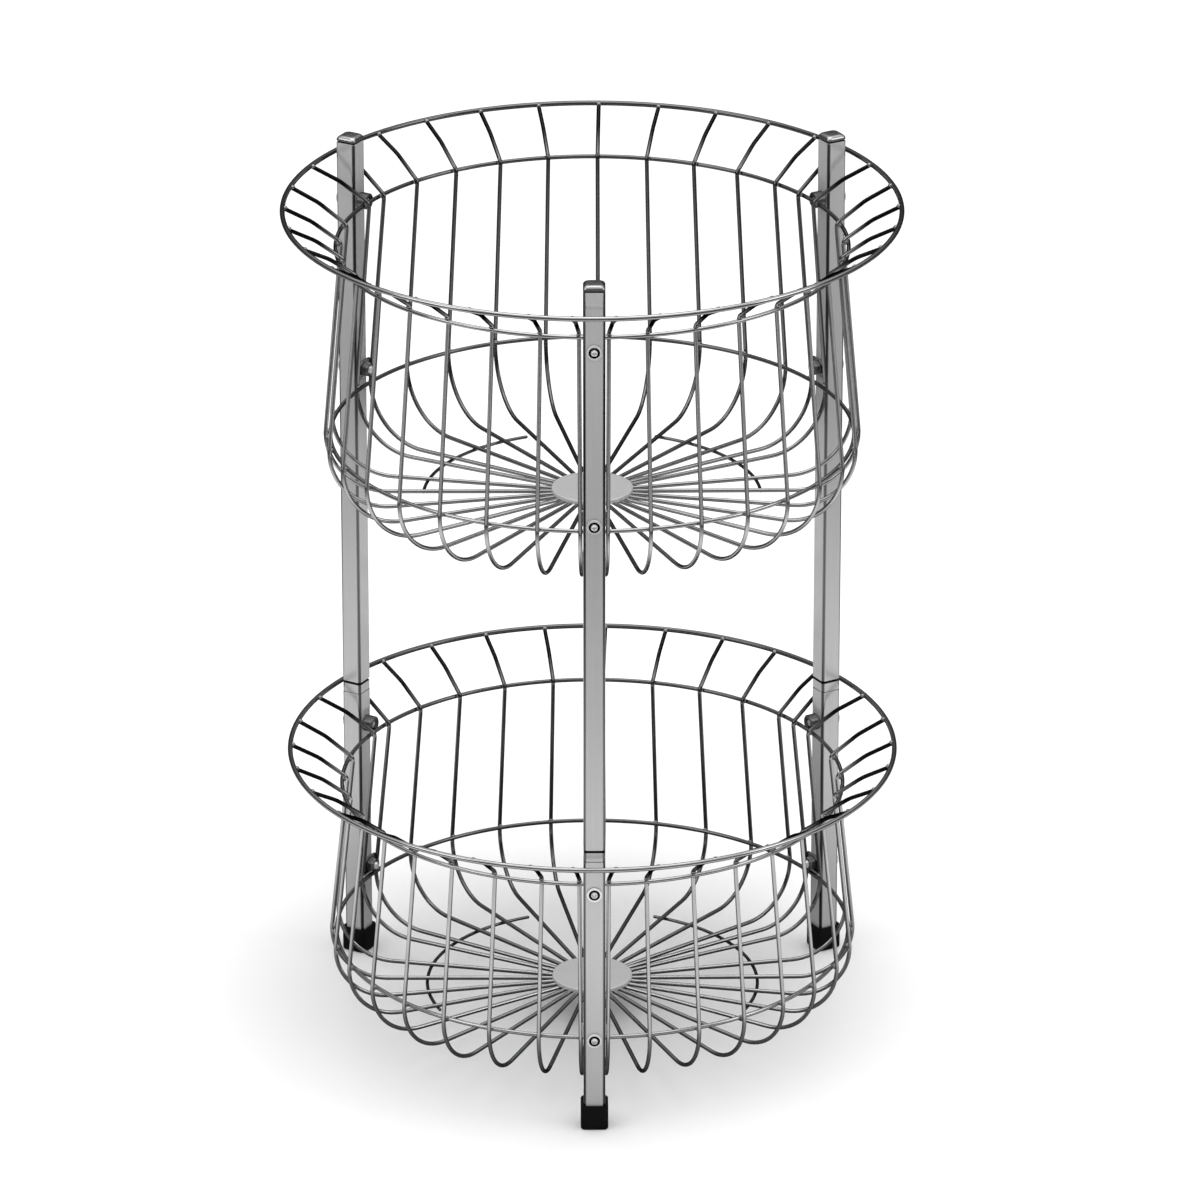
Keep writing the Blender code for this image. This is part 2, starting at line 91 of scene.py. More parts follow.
for tier, sizes in TIERS.items():
    sizes["rim"] = middle_height(tier + "_rim_ring")
    sizes["hoop"] = middle_height(tier + "_low_ring")
    sizes["base"] = middle_height(tier + "_base_arc_left") + (WIRE + ARC_WIRE) / 2 + GAP
    print(tier, {label: round(value, 4) for label, value in sizes.items()})

# %% [markdown]
# ## One helper for every node
# Geometry and shader trees are both made of nodes with numbered or named inputs. `put` adds one,
# and fills each input either with a value or with a wire from an earlier node, so that each line
# below reads as one step of the recipe.

# %% Helpers for node trees
SOCKETS = {
    float: "NodeSocketFloat", int: "NodeSocketInt", bpy.types.Material: "NodeSocketMaterial",
}
GEOMETRY = {"Geometry": "NodeSocketGeometry"}


def put(tree, kind, inputs=None, **settings):
    """Adds a node, changes its settings and fills its inputs."""
    node = tree.nodes.new(kind)
    for name, value in settings.items():
        setattr(node, name, value)
    for name, value in (inputs or {}).items():
        if isinstance(value, bpy.types.NodeSocket):
            tree.links.new(value, node.inputs[name])
        else:
            node.inputs[name].default_value = value
    return node


def output(tree, kind, inputs=None, **settings):
    """The first output of a new node."""
    return put(tree, kind, inputs, **settings).outputs[0]


def reckon(tree, operation, *values):
    """The output of one Math node."""
    return output(tree, "ShaderNodeMath", dict(enumerate(values)), operation=operation)


def halfway(tree, first, second):
    """The middle between two values."""
    return reckon(tree, "MULTIPLY", reckon(tree, "ADD", first, second), 0.5)


def ramp(tree, value, start, end, low=0.0, high=1.0):
    """Changes smoothly from low to high while the value goes from start to end."""
    inputs = {0: value, 1: start, 2: end, 3: low, 4: high}
    return output(tree, "ShaderNodeMapRange", inputs, interpolation_type="SMOOTHSTEP")


def start_tree(name, inputs, outputs, kind="GeometryNodeTree"):
    """A node group with these named inputs and outputs, and its two end nodes."""
    tree = bpy.data.node_groups.new(name, kind)
    for label, value in inputs.items():
        kind_of_socket = value if isinstance(value, str) else SOCKETS[type(value)]
        made = tree.interface.new_socket(label, in_out="INPUT", socket_type=kind_of_socket)
        if not isinstance(value, (str, bpy.types.Material)):
            made.default_value = value
    for label, kind_of_socket in outputs.items():
        tree.interface.new_socket(label, in_out="OUTPUT", socket_type=kind_of_socket)
    given = put(tree, "NodeGroupInput").outputs
    result = put(tree, "NodeGroupOutput").inputs
    return tree, given, result


def by_station(tree, station, values):
    """Picks one value for each numbered point of a template."""
    switch = put(tree, "GeometryNodeIndexSwitch", data_type="FLOAT")
    while len(switch.index_switch_items) < len(values):
        switch.index_switch_items.new()
    for place, value in enumerate([station, *values]):
        if isinstance(value, bpy.types.NodeSocket):
            tree.links.new(value, switch.inputs[place])
        else:
            switch.inputs[place].default_value = value
    return switch.outputs[0]


def named(tree, label, data_type="FLOAT"):
    """Reads an attribute by its name."""
    reader = put(tree, "GeometryNodeInputNamedAttribute", {"Name": label}, data_type=data_type)
    return reader.outputs["Attribute"]


def store(tree, geometry, label, value, data_type="FLOAT"):
    """Writes an attribute on every point."""
    inputs = {"Geometry": geometry, "Name": label, "Value": value}
    settings = {"data_type": data_type, "domain": "POINT"}
    return output(tree, "GeometryNodeStoreNamedAttribute", inputs, **settings)


def point_axes(tree):
    """The X, Y and Z of each point."""
    place = output(tree, "GeometryNodeInputPosition")
    return put(tree, "ShaderNodeSeparateXYZ", {0: place}).outputs


def distance_out(tree):
    """How far each point is from the rack's axis."""
    axes = point_axes(tree)
    flat = output(tree, "ShaderNodeCombineXYZ", {"X": axes["X"], "Y": axes["Y"]})
    return put(tree, "ShaderNodeVectorMath", {0: flat}, operation="LENGTH").outputs["Value"]


def turn_about_z(tree, angle):
    """A rotation that turns instances by an angle."""
    euler = output(tree, "ShaderNodeCombineXYZ", {"Z": angle})
    return output(tree, "FunctionNodeEulerToRotation", {0: euler})


def dress(tree, result, mesh, material):
    """Every tree ends with real geometry that has its material on."""
    real = output(tree, "GeometryNodeRealizeInstances", {"Geometry": mesh})
    dressed = output(tree, "GeometryNodeSetMaterial", {"Geometry": real, "Material": material})
    tree.links.new(dressed, result["Geometry"])


def finish_tree(tree, result, mesh, material):
    """Rounds the shading of what a tree grew, and ends the tree."""
    smooth = output(tree, "GeometryNodeSetShadeSmooth", {"Geometry": mesh})
    dress(tree, result, smooth, material)


def half_wire(tree, given):
    return reckon(tree, "MULTIPLY", given["Wire"], 0.5)


def sweep(tree, curve, given, **more):
    """A round wire along a curve, closed at its ends."""
    profile = {"Resolution": given["Sides"], "Radius": half_wire(tree, given)}
    profile = output(tree, "GeometryNodeCurvePrimitiveCircle", profile)
    inputs = {"Curve": curve, "Profile Curve": profile, "Fill Caps": True, **more}
    return output(tree, "GeometryNodeCurveToMesh", inputs)


def joined(tree, *parts):
    """Several geometries as one."""
    both = put(tree, "GeometryNodeJoinGeometry")
    for part in parts:
        tree.links.new(part, both.inputs[0])
    return both.outputs[0]


def add_object(name, data):
    """A new object in the scene."""
    made = bpy.data.objects.new(name, data)
    bpy.context.scene.collection.objects.link(made)
    return made


def grow(name, tree, values, seed=None):
    """Runs a tree with these inputs and keeps what it grows as a plain mesh."""
    carrier = add_object(name + "_carrier", seed or bpy.data.meshes.new(name + "_seed"))
    modifier = carrier.modifiers.new(name, "NODES")
    modifier.node_group = tree
    for item in tree.interface.items_tree:
        if item.in_out == "INPUT" and item.name in values:
            modifier[item.identifier] = values[item.name]
    graph = bpy.context.evaluated_depsgraph_get()
    mesh = bpy.data.meshes.new_from_object(carrier.evaluated_get(graph), depsgraph=graph)
    bpy.data.objects.remove(carrier)
    mesh.name = name
    print(f"{name}: {sum(len(face.vertices) - 2 for face in mesh.polygons)} triangles")
    return add_object(name, mesh)


# %% [markdown]
# ## Two effects that the metals share
# Plating is never perfectly even: it has faint clouds, and its gloss changes a little from place
# to place. Drawn tube and stamped plates also carry fine parallel lines. Both effects are built
# once as shader groups, and each finish places them with numbers of its own.


# %% Shader group: plating clouds
SPECK_SHARE = 7.0


def noise(tree, vector, scale, detail):
    """Values about one half that change from place to place."""
    inputs = {"Vector": vector, "Scale": scale, "Detail": detail}
    return output(tree, "ShaderNodeTexNoise", inputs)


def contrasted(tree, value, contrast):
    """Spreads a value further from one half, or less far."""
    centred = reckon(tree, "SUBTRACT", value, 0.5)
    return reckon(tree, "MULTIPLY_ADD", centred, contrast, 0.5)


def make_clouds():
    inputs = {
        "Vector": "NodeSocketVector", "Scale": 60.0, "Contrast": 0.5,
        "Gloss": 0.15, "Gloss change": 0.05,
    }
    outputs = dict.fromkeys(("Tone", "Roughness", "Height"), "NodeSocketFloat")
    tree, given, result = start_tree("plating_clouds", inputs, outputs, "ShaderNodeTree")
    vector = given["Vector"]
    clouds = noise(tree, vector, given["Scale"], 4.0)
    specks = noise(tree, vector, reckon(tree, "MULTIPLY", given["Scale"], SPECK_SHARE), 3.0)
    uneven = reckon(tree, "SUBTRACT", halfway(tree, specks, clouds), 0.5)
    gloss = reckon(tree, "MULTIPLY_ADD", uneven, given["Gloss change"], given["Gloss"])
    tree.links.new(contrasted(tree, clouds, given["Contrast"]), result["Tone"])
    tree.links.new(gloss, result["Roughness"])
    tree.links.new(specks, result["Height"])
    return tree


# %% Shader group: drawn lines
def make_lines():
    inputs = {
        "Vector": "NodeSocketVector", "Stretch": "NodeSocketVector",
        "Scale": 900.0, "Contrast": 0.5,
    }
    outputs = dict.fromkeys(("Tone", "Height"), "NodeSocketFloat")
    tree, given, result = start_tree("drawn_lines", inputs, outputs, "ShaderNodeTree")
    pulled = {0: given["Vector"], 1: given["Stretch"]}
    pulled = output(tree, "ShaderNodeVectorMath", pulled, operation="MULTIPLY")
    lines = noise(tree, pulled, given["Scale"], 3.0)
    tree.links.new(contrasted(tree, lines, given["Contrast"]), result["Tone"])
    tree.links.new(lines, result["Height"])
    return tree


clouds_group = make_clouds()
lines_group = make_lines()
print("Shared effects:", clouds_group.name, "and", lines_group.name)


# %% Helpers for materials
def start_material(name, **constants):
    """A Principled material, with the values that are the same all over on its own sockets."""
    material = bpy.data.materials.new(name)
    material.use_nodes = True
    tree = material.node_tree
    shader = tree.nodes["Principled BSDF"]
    for label, value in constants.items():
        shader.inputs[label.replace("_", " ")].default_value = value
    place = put(tree, "ShaderNodeTexCoord").outputs["Object"]
    return material, tree, shader, place


def group(tree, made, inputs):
    """Places a shared effect in a material."""
    return put(tree, "ShaderNodeGroup", inputs, node_tree=made).outputs


def grey(value):
    return (value, value, value)


def blend_colours(tree, factor, dark, light):
    """A colour between two, by a factor that changes over the surface."""
    inputs = {0: factor, 6: (*dark, 1.0), 7: (*light, 1.0)}
    return put(tree, "ShaderNodeMix", inputs, data_type="RGBA").outputs[2]


def painted(tree, label):
    """Reads a value that was painted on the mesh; it is zero where a piece has none."""
    return put(tree, "ShaderNodeAttribute", attribute_name=label).outputs["Fac"]


def darken(tree, colour, label, start, end, low):
    """Scales a colour down to low where the painted value goes from start to end."""
    share = ramp(tree, painted(tree, label), start, end, 1.0, low)
    return output(tree, "ShaderNodeVectorMath", {0: colour, "Scale": share}, operation="SCALE")


def bump(tree, shader, height, strength, distance=0.0002):
    """Turns a height into fine relief."""
    inputs = {"Height": height, "Strength": strength, "Distance": distance}
    tree.links.new(output(tree, "ShaderNodeBump", inputs), shader.inputs["Normal"])


# %% [markdown]
# ## The finishes
# The wires are bright chrome over steel wire, so they mirror the studio in thin streaks. The
# posts are the same steel with a satin chrome: their flat faces blur what they mirror to an even
# grey. Screws, caps and the disc are chromed too, each a little duller or brighter. The shoes are
# black moulded plastic. Where the photograph shows a piece darker than its surroundings explain,
# as in a groove, on the posts' corners or on the ribs at the back, shade is painted into the
# colour: a value painted on the mesh dims the finish there.


# %% Chromed wire
EDGE_TINT = 0.2


def chrome(name, dark, light, gloss, gloss_change, scale, strength, metallic=1.0):
    """Clouded chrome, which is darker where it is seen edge-on."""
    edge = (*grey(EDGE_TINT), 1.0)
    material, tree, shader, place = start_material(name, Metallic=metallic, Specular_Tint=edge)
    effect = {"Vector": place, "Scale": scale, "Contrast": 1.4}
    effect |= {"Gloss": gloss, "Gloss change": gloss_change}
    clouds = group(tree, clouds_group, effect)
    colour = blend_colours(tree, clouds["Tone"], dark, light)
    # Painted shade: the colour is dimmed to black where the mesh carries the painted shade value.
    colour = darken(tree, colour, "shade", 0.0, 1.0, 0.0)
    tree.links.new(colour, shader.inputs["Base Color"])
    tree.links.new(clouds["Roughness"], shader.inputs["Roughness"])
    bump(tree, shader, clouds["Height"], strength)
    return material


wire_chrome = chrome("wire_chrome", (0.50, 0.50, 0.51), (0.70, 0.70, 0.71), 0.14, 0.10, 45.0, 0.05)
weld_chrome = chrome("weld_chrome", grey(0.34), grey(0.55), 0.30, 0.15, 400.0, 0.25)
cap_chrome = chrome("cap_chrome", grey(0.50), grey(0.64), 0.26, 0.12, 120.0, 0.08)
screw_chrome = chrome("screw_chrome", grey(0.78), grey(0.94), 0.22, 0.15, 300.0, 0.10, 0.65)
nut_chrome = chrome("nut_chrome", grey(0.16), grey(0.30), 0.34, 0.15, 300.0, 0.15)
print("Chrome finishes:", wire_chrome.name, weld_chrome.name, cap_chrome.name, screw_chrome.name)


# %% Satin tube and disc, with drawn lines over the clouds
LINE_SHARE = 0.6
CORNER_START = 0.3
CORNER_SHADE = 0.3
POLISH_RANGE = (0.1, 0.9)
POLISH_GAIN = 0.5


def satin(name, dark, light, gloss, stretch, line_scale, strength, metallic):
    """Satin chrome on the flats, bare and polished on the painted corners, whose colour is also
    darkened there as painted shade.
    """
    material, tree, shader, place = start_material(name)
    effect = {"Vector": place, "Scale": 14.0, "Contrast": 0.9}
    effect |= {"Gloss": gloss, "Gloss change": 0.10}
    clouds = group(tree, clouds_group, effect)
    drawn = {"Vector": place, "Stretch": stretch, "Scale": line_scale, "Contrast": 1.2}
    lines = group(tree, lines_group, drawn)
    cloudy = reckon(tree, "MULTIPLY", clouds["Tone"], 1.0 - LINE_SHARE)
    tone = reckon(tree, "MULTIPLY_ADD", lines["Tone"], LINE_SHARE, cloudy)
    colour = blend_colours(tree, tone, dark, light)
    # Painted shade: the colour is darkened on the round corners, for the dark line they mirror.
    colour = darken(tree, colour, "corner", CORNER_START, 1.0, CORNER_SHADE)
    colour = darken(tree, colour, "shade", 0.0, 1.0, 0.0)
    tree.links.new(colour, shader.inputs["Base Color"])
    polished = ramp(tree, painted(tree, "corner"), *POLISH_RANGE)
    bare = reckon(tree, "MULTIPLY_ADD", polished, 1.0 - metallic, metallic)
    tree.links.new(bare, shader.inputs["Metallic"])
    gloss_left = reckon(tree, "MULTIPLY_ADD", polished, -POLISH_GAIN, 1.0)
    roughness = reckon(tree, "MULTIPLY", clouds["Roughness"], gloss_left)
    tree.links.new(roughness, shader.inputs["Roughness"])
    bump(tree, shader, lines["Height"], strength)
    return material


ALONG_POST = (1.0, 1.0, 0.012)
ACROSS_DISC = (0.02, 1.0, 1.0)
post_satin = satin("post_satin", grey(0.46), grey(0.57), 0.18, ALONG_POST, 1400.0, 0.06, 0.45)
disc_satin = satin("disc_satin", grey(0.72), grey(0.86), 0.34, ACROSS_DISC, 900.0, 0.08, 0.6)


# %% Black shoe plastic
def moulded():
    material, tree, shader, place = start_material("shoe_plastic", Specular_IOR_Level=0.12)
    effect = {"Vector": place, "Scale": 90.0, "Contrast": 1.2, "Gloss": 0.52, "Gloss change": 0.25}
    clouds = group(tree, clouds_group, effect)
    colour = blend_colours(tree, clouds["Tone"], grey(0.002), grey(0.006))
    tree.links.new(colour, shader.inputs["Base Color"])
    tree.links.new(clouds["Roughness"], shader.inputs["Roughness"])
    bump(tree, shader, noise(tree, place, 2600.0, 2.0), 0.2)
    return material


shoe_plastic = moulded()
print("Satin and plastic:", post_satin.name, disc_satin.name, shoe_plastic.name)

# %% [markdown]
# ## Where the ribs stand
# Between two posts stand nine single ribs, and a pair runs close past each post. The steps were
# measured in the photograph: 11.2 degrees beside the front post, and at the back 12 in the lower
# basket and 11.6 in the upper one, where all ribs are also turned by two or three degrees. A group
# makes one point for each rib, with its azimuth, its side of the post and how far its ends fan out.


# %% Tree: places of the ribs
def make_rib_places():
    inputs = {
        "Ribs per bay": 9.0, "First rib": math.radians(12), "Front step": math.radians(11.2),
        "Back step": math.radians(12), "Back turn": 0.0, "First post": FIRST_POST,
        "Post turn": POST_TURN, "Fan": math.radians(4), "Wide fan": math.radians(6.5),
    }
    tree, given, result = start_tree("rib_places", inputs, GEOMETRY)
    index = output(tree, "GeometryNodeInputIndex")
    per_bay = given["Ribs per bay"]
    single = output(tree, "GeometryNodePoints", {"Count": reckon(tree, "MULTIPLY", per_bay, 3.0)})
    rib = reckon(tree, "MODULO", index, per_bay)
    bay = reckon(tree, "FLOOR", reckon(tree, "DIVIDE", index, per_bay))
    middle = reckon(tree, "MULTIPLY_ADD", per_bay, 0.5, -0.5)
    across = reckon(tree, "MULTIPLY", reckon(tree, "SUBTRACT", rib, middle), given["Back step"])
    back = reckon(tree, "ADD", across, reckon(tree, "ADD", given["Back turn"], math.pi / 2))
    beside = reckon(tree, "MULTIPLY_ADD", rib, given["Front step"], given["First rib"])
    left = reckon(tree, "SUBTRACT", math.pi * 1.5, beside)
    right = reckon(tree, "ADD", math.pi * 1.5, beside)
    single = store(tree, single, "azimuth", by_station(tree, bay, [back, left, right]))
    single = store(tree, store(tree, single, "side", 0.0), "fan", 0.0)
    pairs = output(tree, "GeometryNodePoints", {"Count": 6})
    post = reckon(tree, "FLOOR", reckon(tree, "MULTIPLY", index, 0.5))
    pair_azimuth = reckon(tree, "MULTIPLY_ADD", post, given["Post turn"], given["First post"])
    pairs = store(tree, pairs, "azimuth", pair_azimuth)
    odd = reckon(tree, "MODULO", index, 2.0)
    pairs = store(tree, pairs, "side", reckon(tree, "MULTIPLY_ADD", odd, 2.0, -1.0))
    fan, wide = given["Fan"], given["Wide fan"]
    pairs = store(tree, pairs, "fan", by_station(tree, index, [wide, fan, fan, wide, fan, fan]))
    tree.links.new(joined(tree, single, pairs), result["Geometry"])
    return tree


rib_places = make_rib_places()

# %% [markdown]
# ## The ribs
# Each rib is one wire. From the rim it runs down and in to the neck, bends, goes down the wall a
# little outwards, and turns under the basket to the disc. A line of six points is enough: each
# point is set out from the middle by its station number, the bends are filleted, and a round
# profile is swept along. Doing it in nodes bends all 33 ribs at once, and the welds below can use
# the same places.


# %% How much painted shade darkens the wires
BACK_SHADE = 0.6
BACK_RANGE = (-0.05, 0.12)
BASE_RANGE = (0.03, 0.13)
OUTER_SHARE = 0.45
SHADED_BEND = 0.7
CROOK_SHARE = 0.3

# %% Tree: bent ribs
def place_station(tree, radius, sideways, height):
    """A point at that distance from the axis, shifted sideways and turned to its rib's azimuth."""
    shift = reckon(tree, "MULTIPLY", sideways, named(tree, "side"))
    longest, shortest = (reckon(tree, "POWER", side, 2.0) for side in (radius, shift))
    out = reckon(tree, "SQRT", reckon(tree, "SUBTRACT", longest, shortest))
    point = output(tree, "ShaderNodeCombineXYZ", {"X": out, "Y": shift, "Z": height})
    turned = {"Vector": point, "Angle": named(tree, "azimuth")}
    return output(tree, "ShaderNodeVectorRotate", turned, rotation_type="Z_AXIS")


def on_places(tree, given, template):
    """Copies a template to every rib's place and makes the copies real."""
    turns = {label: given[label] for label in ("Back turn", "Back step")}
    places = output(tree, "GeometryNodeGroup", turns, node_tree=rib_places)
    inputs = {"Points": places, "Instance": template}
    copies = output(tree, "GeometryNodeInstanceOnPoints", inputs)
    return output(tree, "GeometryNodeRealizeInstances", {"Geometry": copies})


def make_bent_ribs():
    inputs = {
        "Rim height": 0.5, "Hoop height": 0.36, "Base height": 0.32, "Back turn": 0.0,
        "Back step": 0.2, "Tip radius": RIM_RADIUS, "Neck radius": NECK_RADIUS,
        "Neck drop": NECK_DROP, "Flare sag": FLARE_SAG, "Wall radius": WALL_RADIUS,
        "End radius": RIB_END, "Pair spread": PAIR_OFFSET, "Pair spread at neck": PAIR_NECK_OFFSET,
        "Neck bend": NECK_BEND, "Slight bend": SLIGHT_BEND, "Corner bend": 0.03,
        "Shade at base": 0.8, "Shade on flare": 0.9, "Shade at back": BACK_SHADE,
        "Wire": WIRE, "Sides": 12, "Material": wire_chrome,
    }
    tree, given, result = start_tree("bent_ribs", inputs, GEOMETRY)
    line = output(tree, "GeometryNodeMeshLine", {"Count": 6})
    line = output(tree, "GeometryNodeMeshToCurve", {"Mesh": line})
    index = output(tree, "GeometryNodeInputIndex")
    line = store(tree, line, "station", index, "INT")
    ribs = on_places(tree, given, line)
    station = named(tree, "station", "INT")
    tip, neck, wall, end = (given[f"{label} radius"] for label in ("Tip", "Neck", "Wall", "End"))
    fan = reckon(tree, "SINE", named(tree, "fan"))
    at_rim, at_end = (reckon(tree, "MULTIPLY", reach, fan) for reach in (tip, end))
    at_neck, at_wall = given["Pair spread at neck"], given["Pair spread"]
    radius = by_station(tree, station, [tip, halfway(tree, tip, neck), neck, wall, wall, end])
    spreads = [at_rim, halfway(tree, at_rim, at_neck), at_neck, at_wall, at_wall, at_end]
    rim, low = given["Rim height"], given["Base height"]
    under_neck = reckon(tree, "SUBTRACT", rim, given["Neck drop"])
    sagging = reckon(tree, "ADD", halfway(tree, rim, under_neck), given["Flare sag"])
    height = by_station(tree, station, [rim, sagging, under_neck, given["Hoop height"], low, low])
    position = place_station(tree, radius, by_station(tree, station, spreads), height)
    ribs = output(tree, "GeometryNodeSetPosition", {"Geometry": ribs, "Position": position})
    slight = given["Slight bend"]
    bends = [0.0, slight, given["Neck bend"], slight, given["Corner bend"], 0.0]
    fillet = {
        "Curve": ribs, "Limit Radius": True,
        "Count": by_station(tree, station, [0.0, 3.0, 8.0, 3.0, 16.0, 0.0]),
        "Radius": by_station(tree, station, bends),
    }
    ribs = output(tree, "GeometryNodeFilletCurve", fillet, mode="POLY")
    # Painted shade: the wire is darkened where it turns under the base (less so further out), on
    # the flare and towards the back.
    axes = point_axes(tree)
    curved = reckon(tree, "MULTIPLY_ADD", given["Corner bend"], SHADED_BEND, low)
    at_base = ramp(tree, axes["Z"], curved, low, 0.0, given["Shade at base"])
    further_in = ramp(tree, distance_out(tree), *BASE_RANGE, 1.0, OUTER_SHARE)
    at_base = reckon(tree, "MULTIPLY", at_base, further_in)
    crook = reckon(tree, "MULTIPLY_ADD", given["Neck bend"], -CROOK_SHARE, under_neck)
    flare = halfway(tree, under_neck, sagging)
    on_flare = ramp(tree, axes["Z"], crook, flare, 0.0, given["Shade on flare"])
    at_back = ramp(tree, axes["Y"], *BACK_RANGE, 0.0, given["Shade at back"])
    shade = reckon(tree, "MAXIMUM", at_back, reckon(tree, "MAXIMUM", at_base, on_flare))
    ribs = store(tree, ribs, "shade", shade)
    finish_tree(tree, result, sweep(tree, ribs, given), given["Material"])
    return tree


def tier_values(sizes, material):
    """What the ribs and their welds both need to know about a tier."""
    return {
        "Rim height": sizes["rim"], "Hoop height": sizes["hoop"], "Material": material,
        "Back turn": math.radians(sizes["back_turn"]),
        "Back step": math.radians(sizes["back_step"]),
    }


bent_ribs = make_bent_ribs()
pieces = {}
for tier, sizes in TIERS.items():
    values = tier_values(sizes, wire_chrome) | {
        "Base height": sizes["base"], "Shade at base": sizes["base_shade"],
        "Corner bend": sizes["hoop"] - sizes["base"] - CORNER_ROOM,
    }
    pieces[tier, "ribs"] = grow(tier + "_bent_ribs", bent_ribs, values)

# %% [markdown]
# ## The welds
# Where a rib meets a hoop, a spot weld has pressed the two wires together and left a small bead.
# The beads are too small to see one by one, but they catch the light along each hoop. A little
# ball is squeezed to the size of a bead and set at each crossing.

# %% Where the neck hoop lies
neck = Vector((NECK_RADIUS, -NECK_DROP))
flare = Vector(((NECK_RADIUS + RIM_RADIUS) / 2, FLARE_SAG - NECK_DROP / 2)) - neck


def neck_hoop(sizes, offset):
    """Radius and height of something in the crook of the neck, that far from the rib's middle."""
    wall = Vector((WALL_RADIUS, sizes["hoop"] - sizes["rim"])) - neck
    crook = NECK_BEND / math.sin(flare.angle(wall) / 2) - NECK_BEND
    drop = neck + (flare.normalized() + wall.normalized()).normalized() * (crook + offset)
    return Vector((drop.x, sizes["rim"] + drop.y))


for tier, sizes in TIERS.items():
    print(tier, "neck hoop:", [round(value, 4) for value in neck_hoop(sizes, HOOP_OFFSET)])


# %% Tree: weld beads
BEAD_OUT = (1.0, 0.75, 0.75)
BEAD_UP = (0.8, 1.0, 1.0)


def make_weld_beads():
    inputs = {
        "Rim height": 0.5, "Neck height": 0.48, "Hoop height": 0.36, "Back turn": 0.0,
        "Back step": 0.2, "Rim radius": RIM_RADIUS, "Neck radius": NECK_RADIUS,
        "Hoop radius": WALL_RADIUS, "Pair spread": PAIR_OFFSET,
        "Pair spread at neck": PAIR_NECK_OFFSET, "Bead": 0.0016, "Material": weld_chrome,
    }
    tree, given, result = start_tree("weld_beads", inputs, GEOMETRY)
    index = output(tree, "GeometryNodeInputIndex")
    trio = store(tree, output(tree, "GeometryNodePoints", {"Count": 3}), "station", index, "INT")
    beads = on_places(tree, given, trio)
    station = named(tree, "station", "INT")
    fan = reckon(tree, "SINE", named(tree, "fan"))
    at_rim = reckon(tree, "MULTIPLY", given["Rim radius"], fan)
    hoops = ("Rim", "Neck", "Hoop")
    radius, height = (
        by_station(tree, station, [given[f"{label} {measure}"] for label in hoops])
        for measure in ("radius", "height")
    )
    spreads = [at_rim, given["Pair spread at neck"], given["Pair spread"]]
    spread = by_station(tree, station, spreads)
    position = place_station(tree, radius, spread, height)
    beads = output(tree, "GeometryNodeSetPosition", {"Geometry": beads, "Position": position})
    ball = output(tree, "GeometryNodeMeshIcoSphere", {"Radius": given["Bead"], "Subdivisions": 2})
    turn = turn_about_z(tree, named(tree, "azimuth"))
    thickness, tallness = (by_station(tree, station, shares) for shares in (BEAD_OUT, BEAD_UP))
    scale = output(tree, "ShaderNodeCombineXYZ", {"X": thickness, "Y": 1.0, "Z": tallness})
    placed = {"Points": beads, "Instance": ball, "Rotation": turn, "Scale": scale}
    placed = output(tree, "GeometryNodeInstanceOnPoints", placed)
    finish_tree(tree, result, placed, given["Material"])
    return tree


weld_beads = make_weld_beads()
for tier, sizes in TIERS.items():
    bead_place = neck_hoop(sizes, HOOP_OFFSET / 2)
    values = tier_values(sizes, weld_chrome) | {
        "Rim radius": RIM_RADIUS - RIM_WIRE / 2, "Neck radius": bead_place.x,
        "Hoop radius": WALL_RADIUS - HOOP_OFFSET / 2, "Neck height": bead_place.y,
    }
    pieces[tier, "welds"] = grow(tier + "_weld_beads", weld_beads, values)

# %% [markdown]
# ## Hoops and base arcs
# Three hoops hold the ribs: the thicker rim, the neck hoop in the crook outside, and the low hoop
# inside. Each hoop is a straight wire rolled round and butt welded, so it is very slightly thicker
# at its seam. Two short arcs under the base keep the long ribs from spreading. One tree sweeps all
# of them: a full turn makes a hoop, and less than that an arc with rounded ends.


# %% Tree: rolled wire
SEAM_STEEPNESS = 120.0


def make_rolled_wire():
    inputs = {
        "Radius": 0.15, "Height": 0.5, "Start": 0.0, "Turn": math.tau, "Steps": 180,
        "Wire": WIRE, "Seam": 0.06, "Sides": 14, "Shade": 0.0, "Shade at back": BACK_SHADE,
        "Material": wire_chrome,
    }
    tree, given, result = start_tree("rolled_wire", inputs, GEOMETRY)
    arc = {
        "Resolution": given["Steps"], "Radius": given["Radius"],
        "Start Angle": given["Start"], "Sweep Angle": given["Turn"],
    }
    arc = output(tree, "GeometryNodeCurveArc", arc, mode="RADIUS")
    raised = output(tree, "ShaderNodeCombineXYZ", {"Z": given["Height"]})
    arc = output(tree, "GeometryNodeTransform", {"Geometry": arc, "Translation": raised})
    # Painted shade: the wire is darkened towards the back, and the base arcs all along by their
    # Shade.
    at_back = ramp(tree, point_axes(tree)["Y"], *BACK_RANGE, 0.0, given["Shade at back"])
    arc = store(tree, arc, "shade", reckon(tree, "MAXIMUM", at_back, given["Shade"]))
    along = put(tree, "GeometryNodeSplineParameter").outputs["Factor"]
    from_end = reckon(tree, "PINGPONG", along, 0.5)
    near_seam = reckon(tree, "MULTIPLY_ADD", from_end, -SEAM_STEEPNESS, 1.0)
    near_seam = reckon(tree, "MAXIMUM", near_seam, 0.0)
    scale = reckon(tree, "MULTIPLY_ADD", near_seam, given["Seam"], 1.0)
    swept = sweep(tree, arc, given, Scale=scale)
    ball = {"Radius": half_wire(tree, given), "Subdivisions": 3}
    ball = output(tree, "GeometryNodeMeshIcoSphere", ball)
    ends = output(tree, "GeometryNodeCurveEndpointSelection")
    ends = {"Points": arc, "Selection": ends, "Instance": ball}
    ends = output(tree, "GeometryNodeInstanceOnPoints", ends)
    finish_tree(tree, result, joined(tree, swept, ends), given["Material"])
    return tree


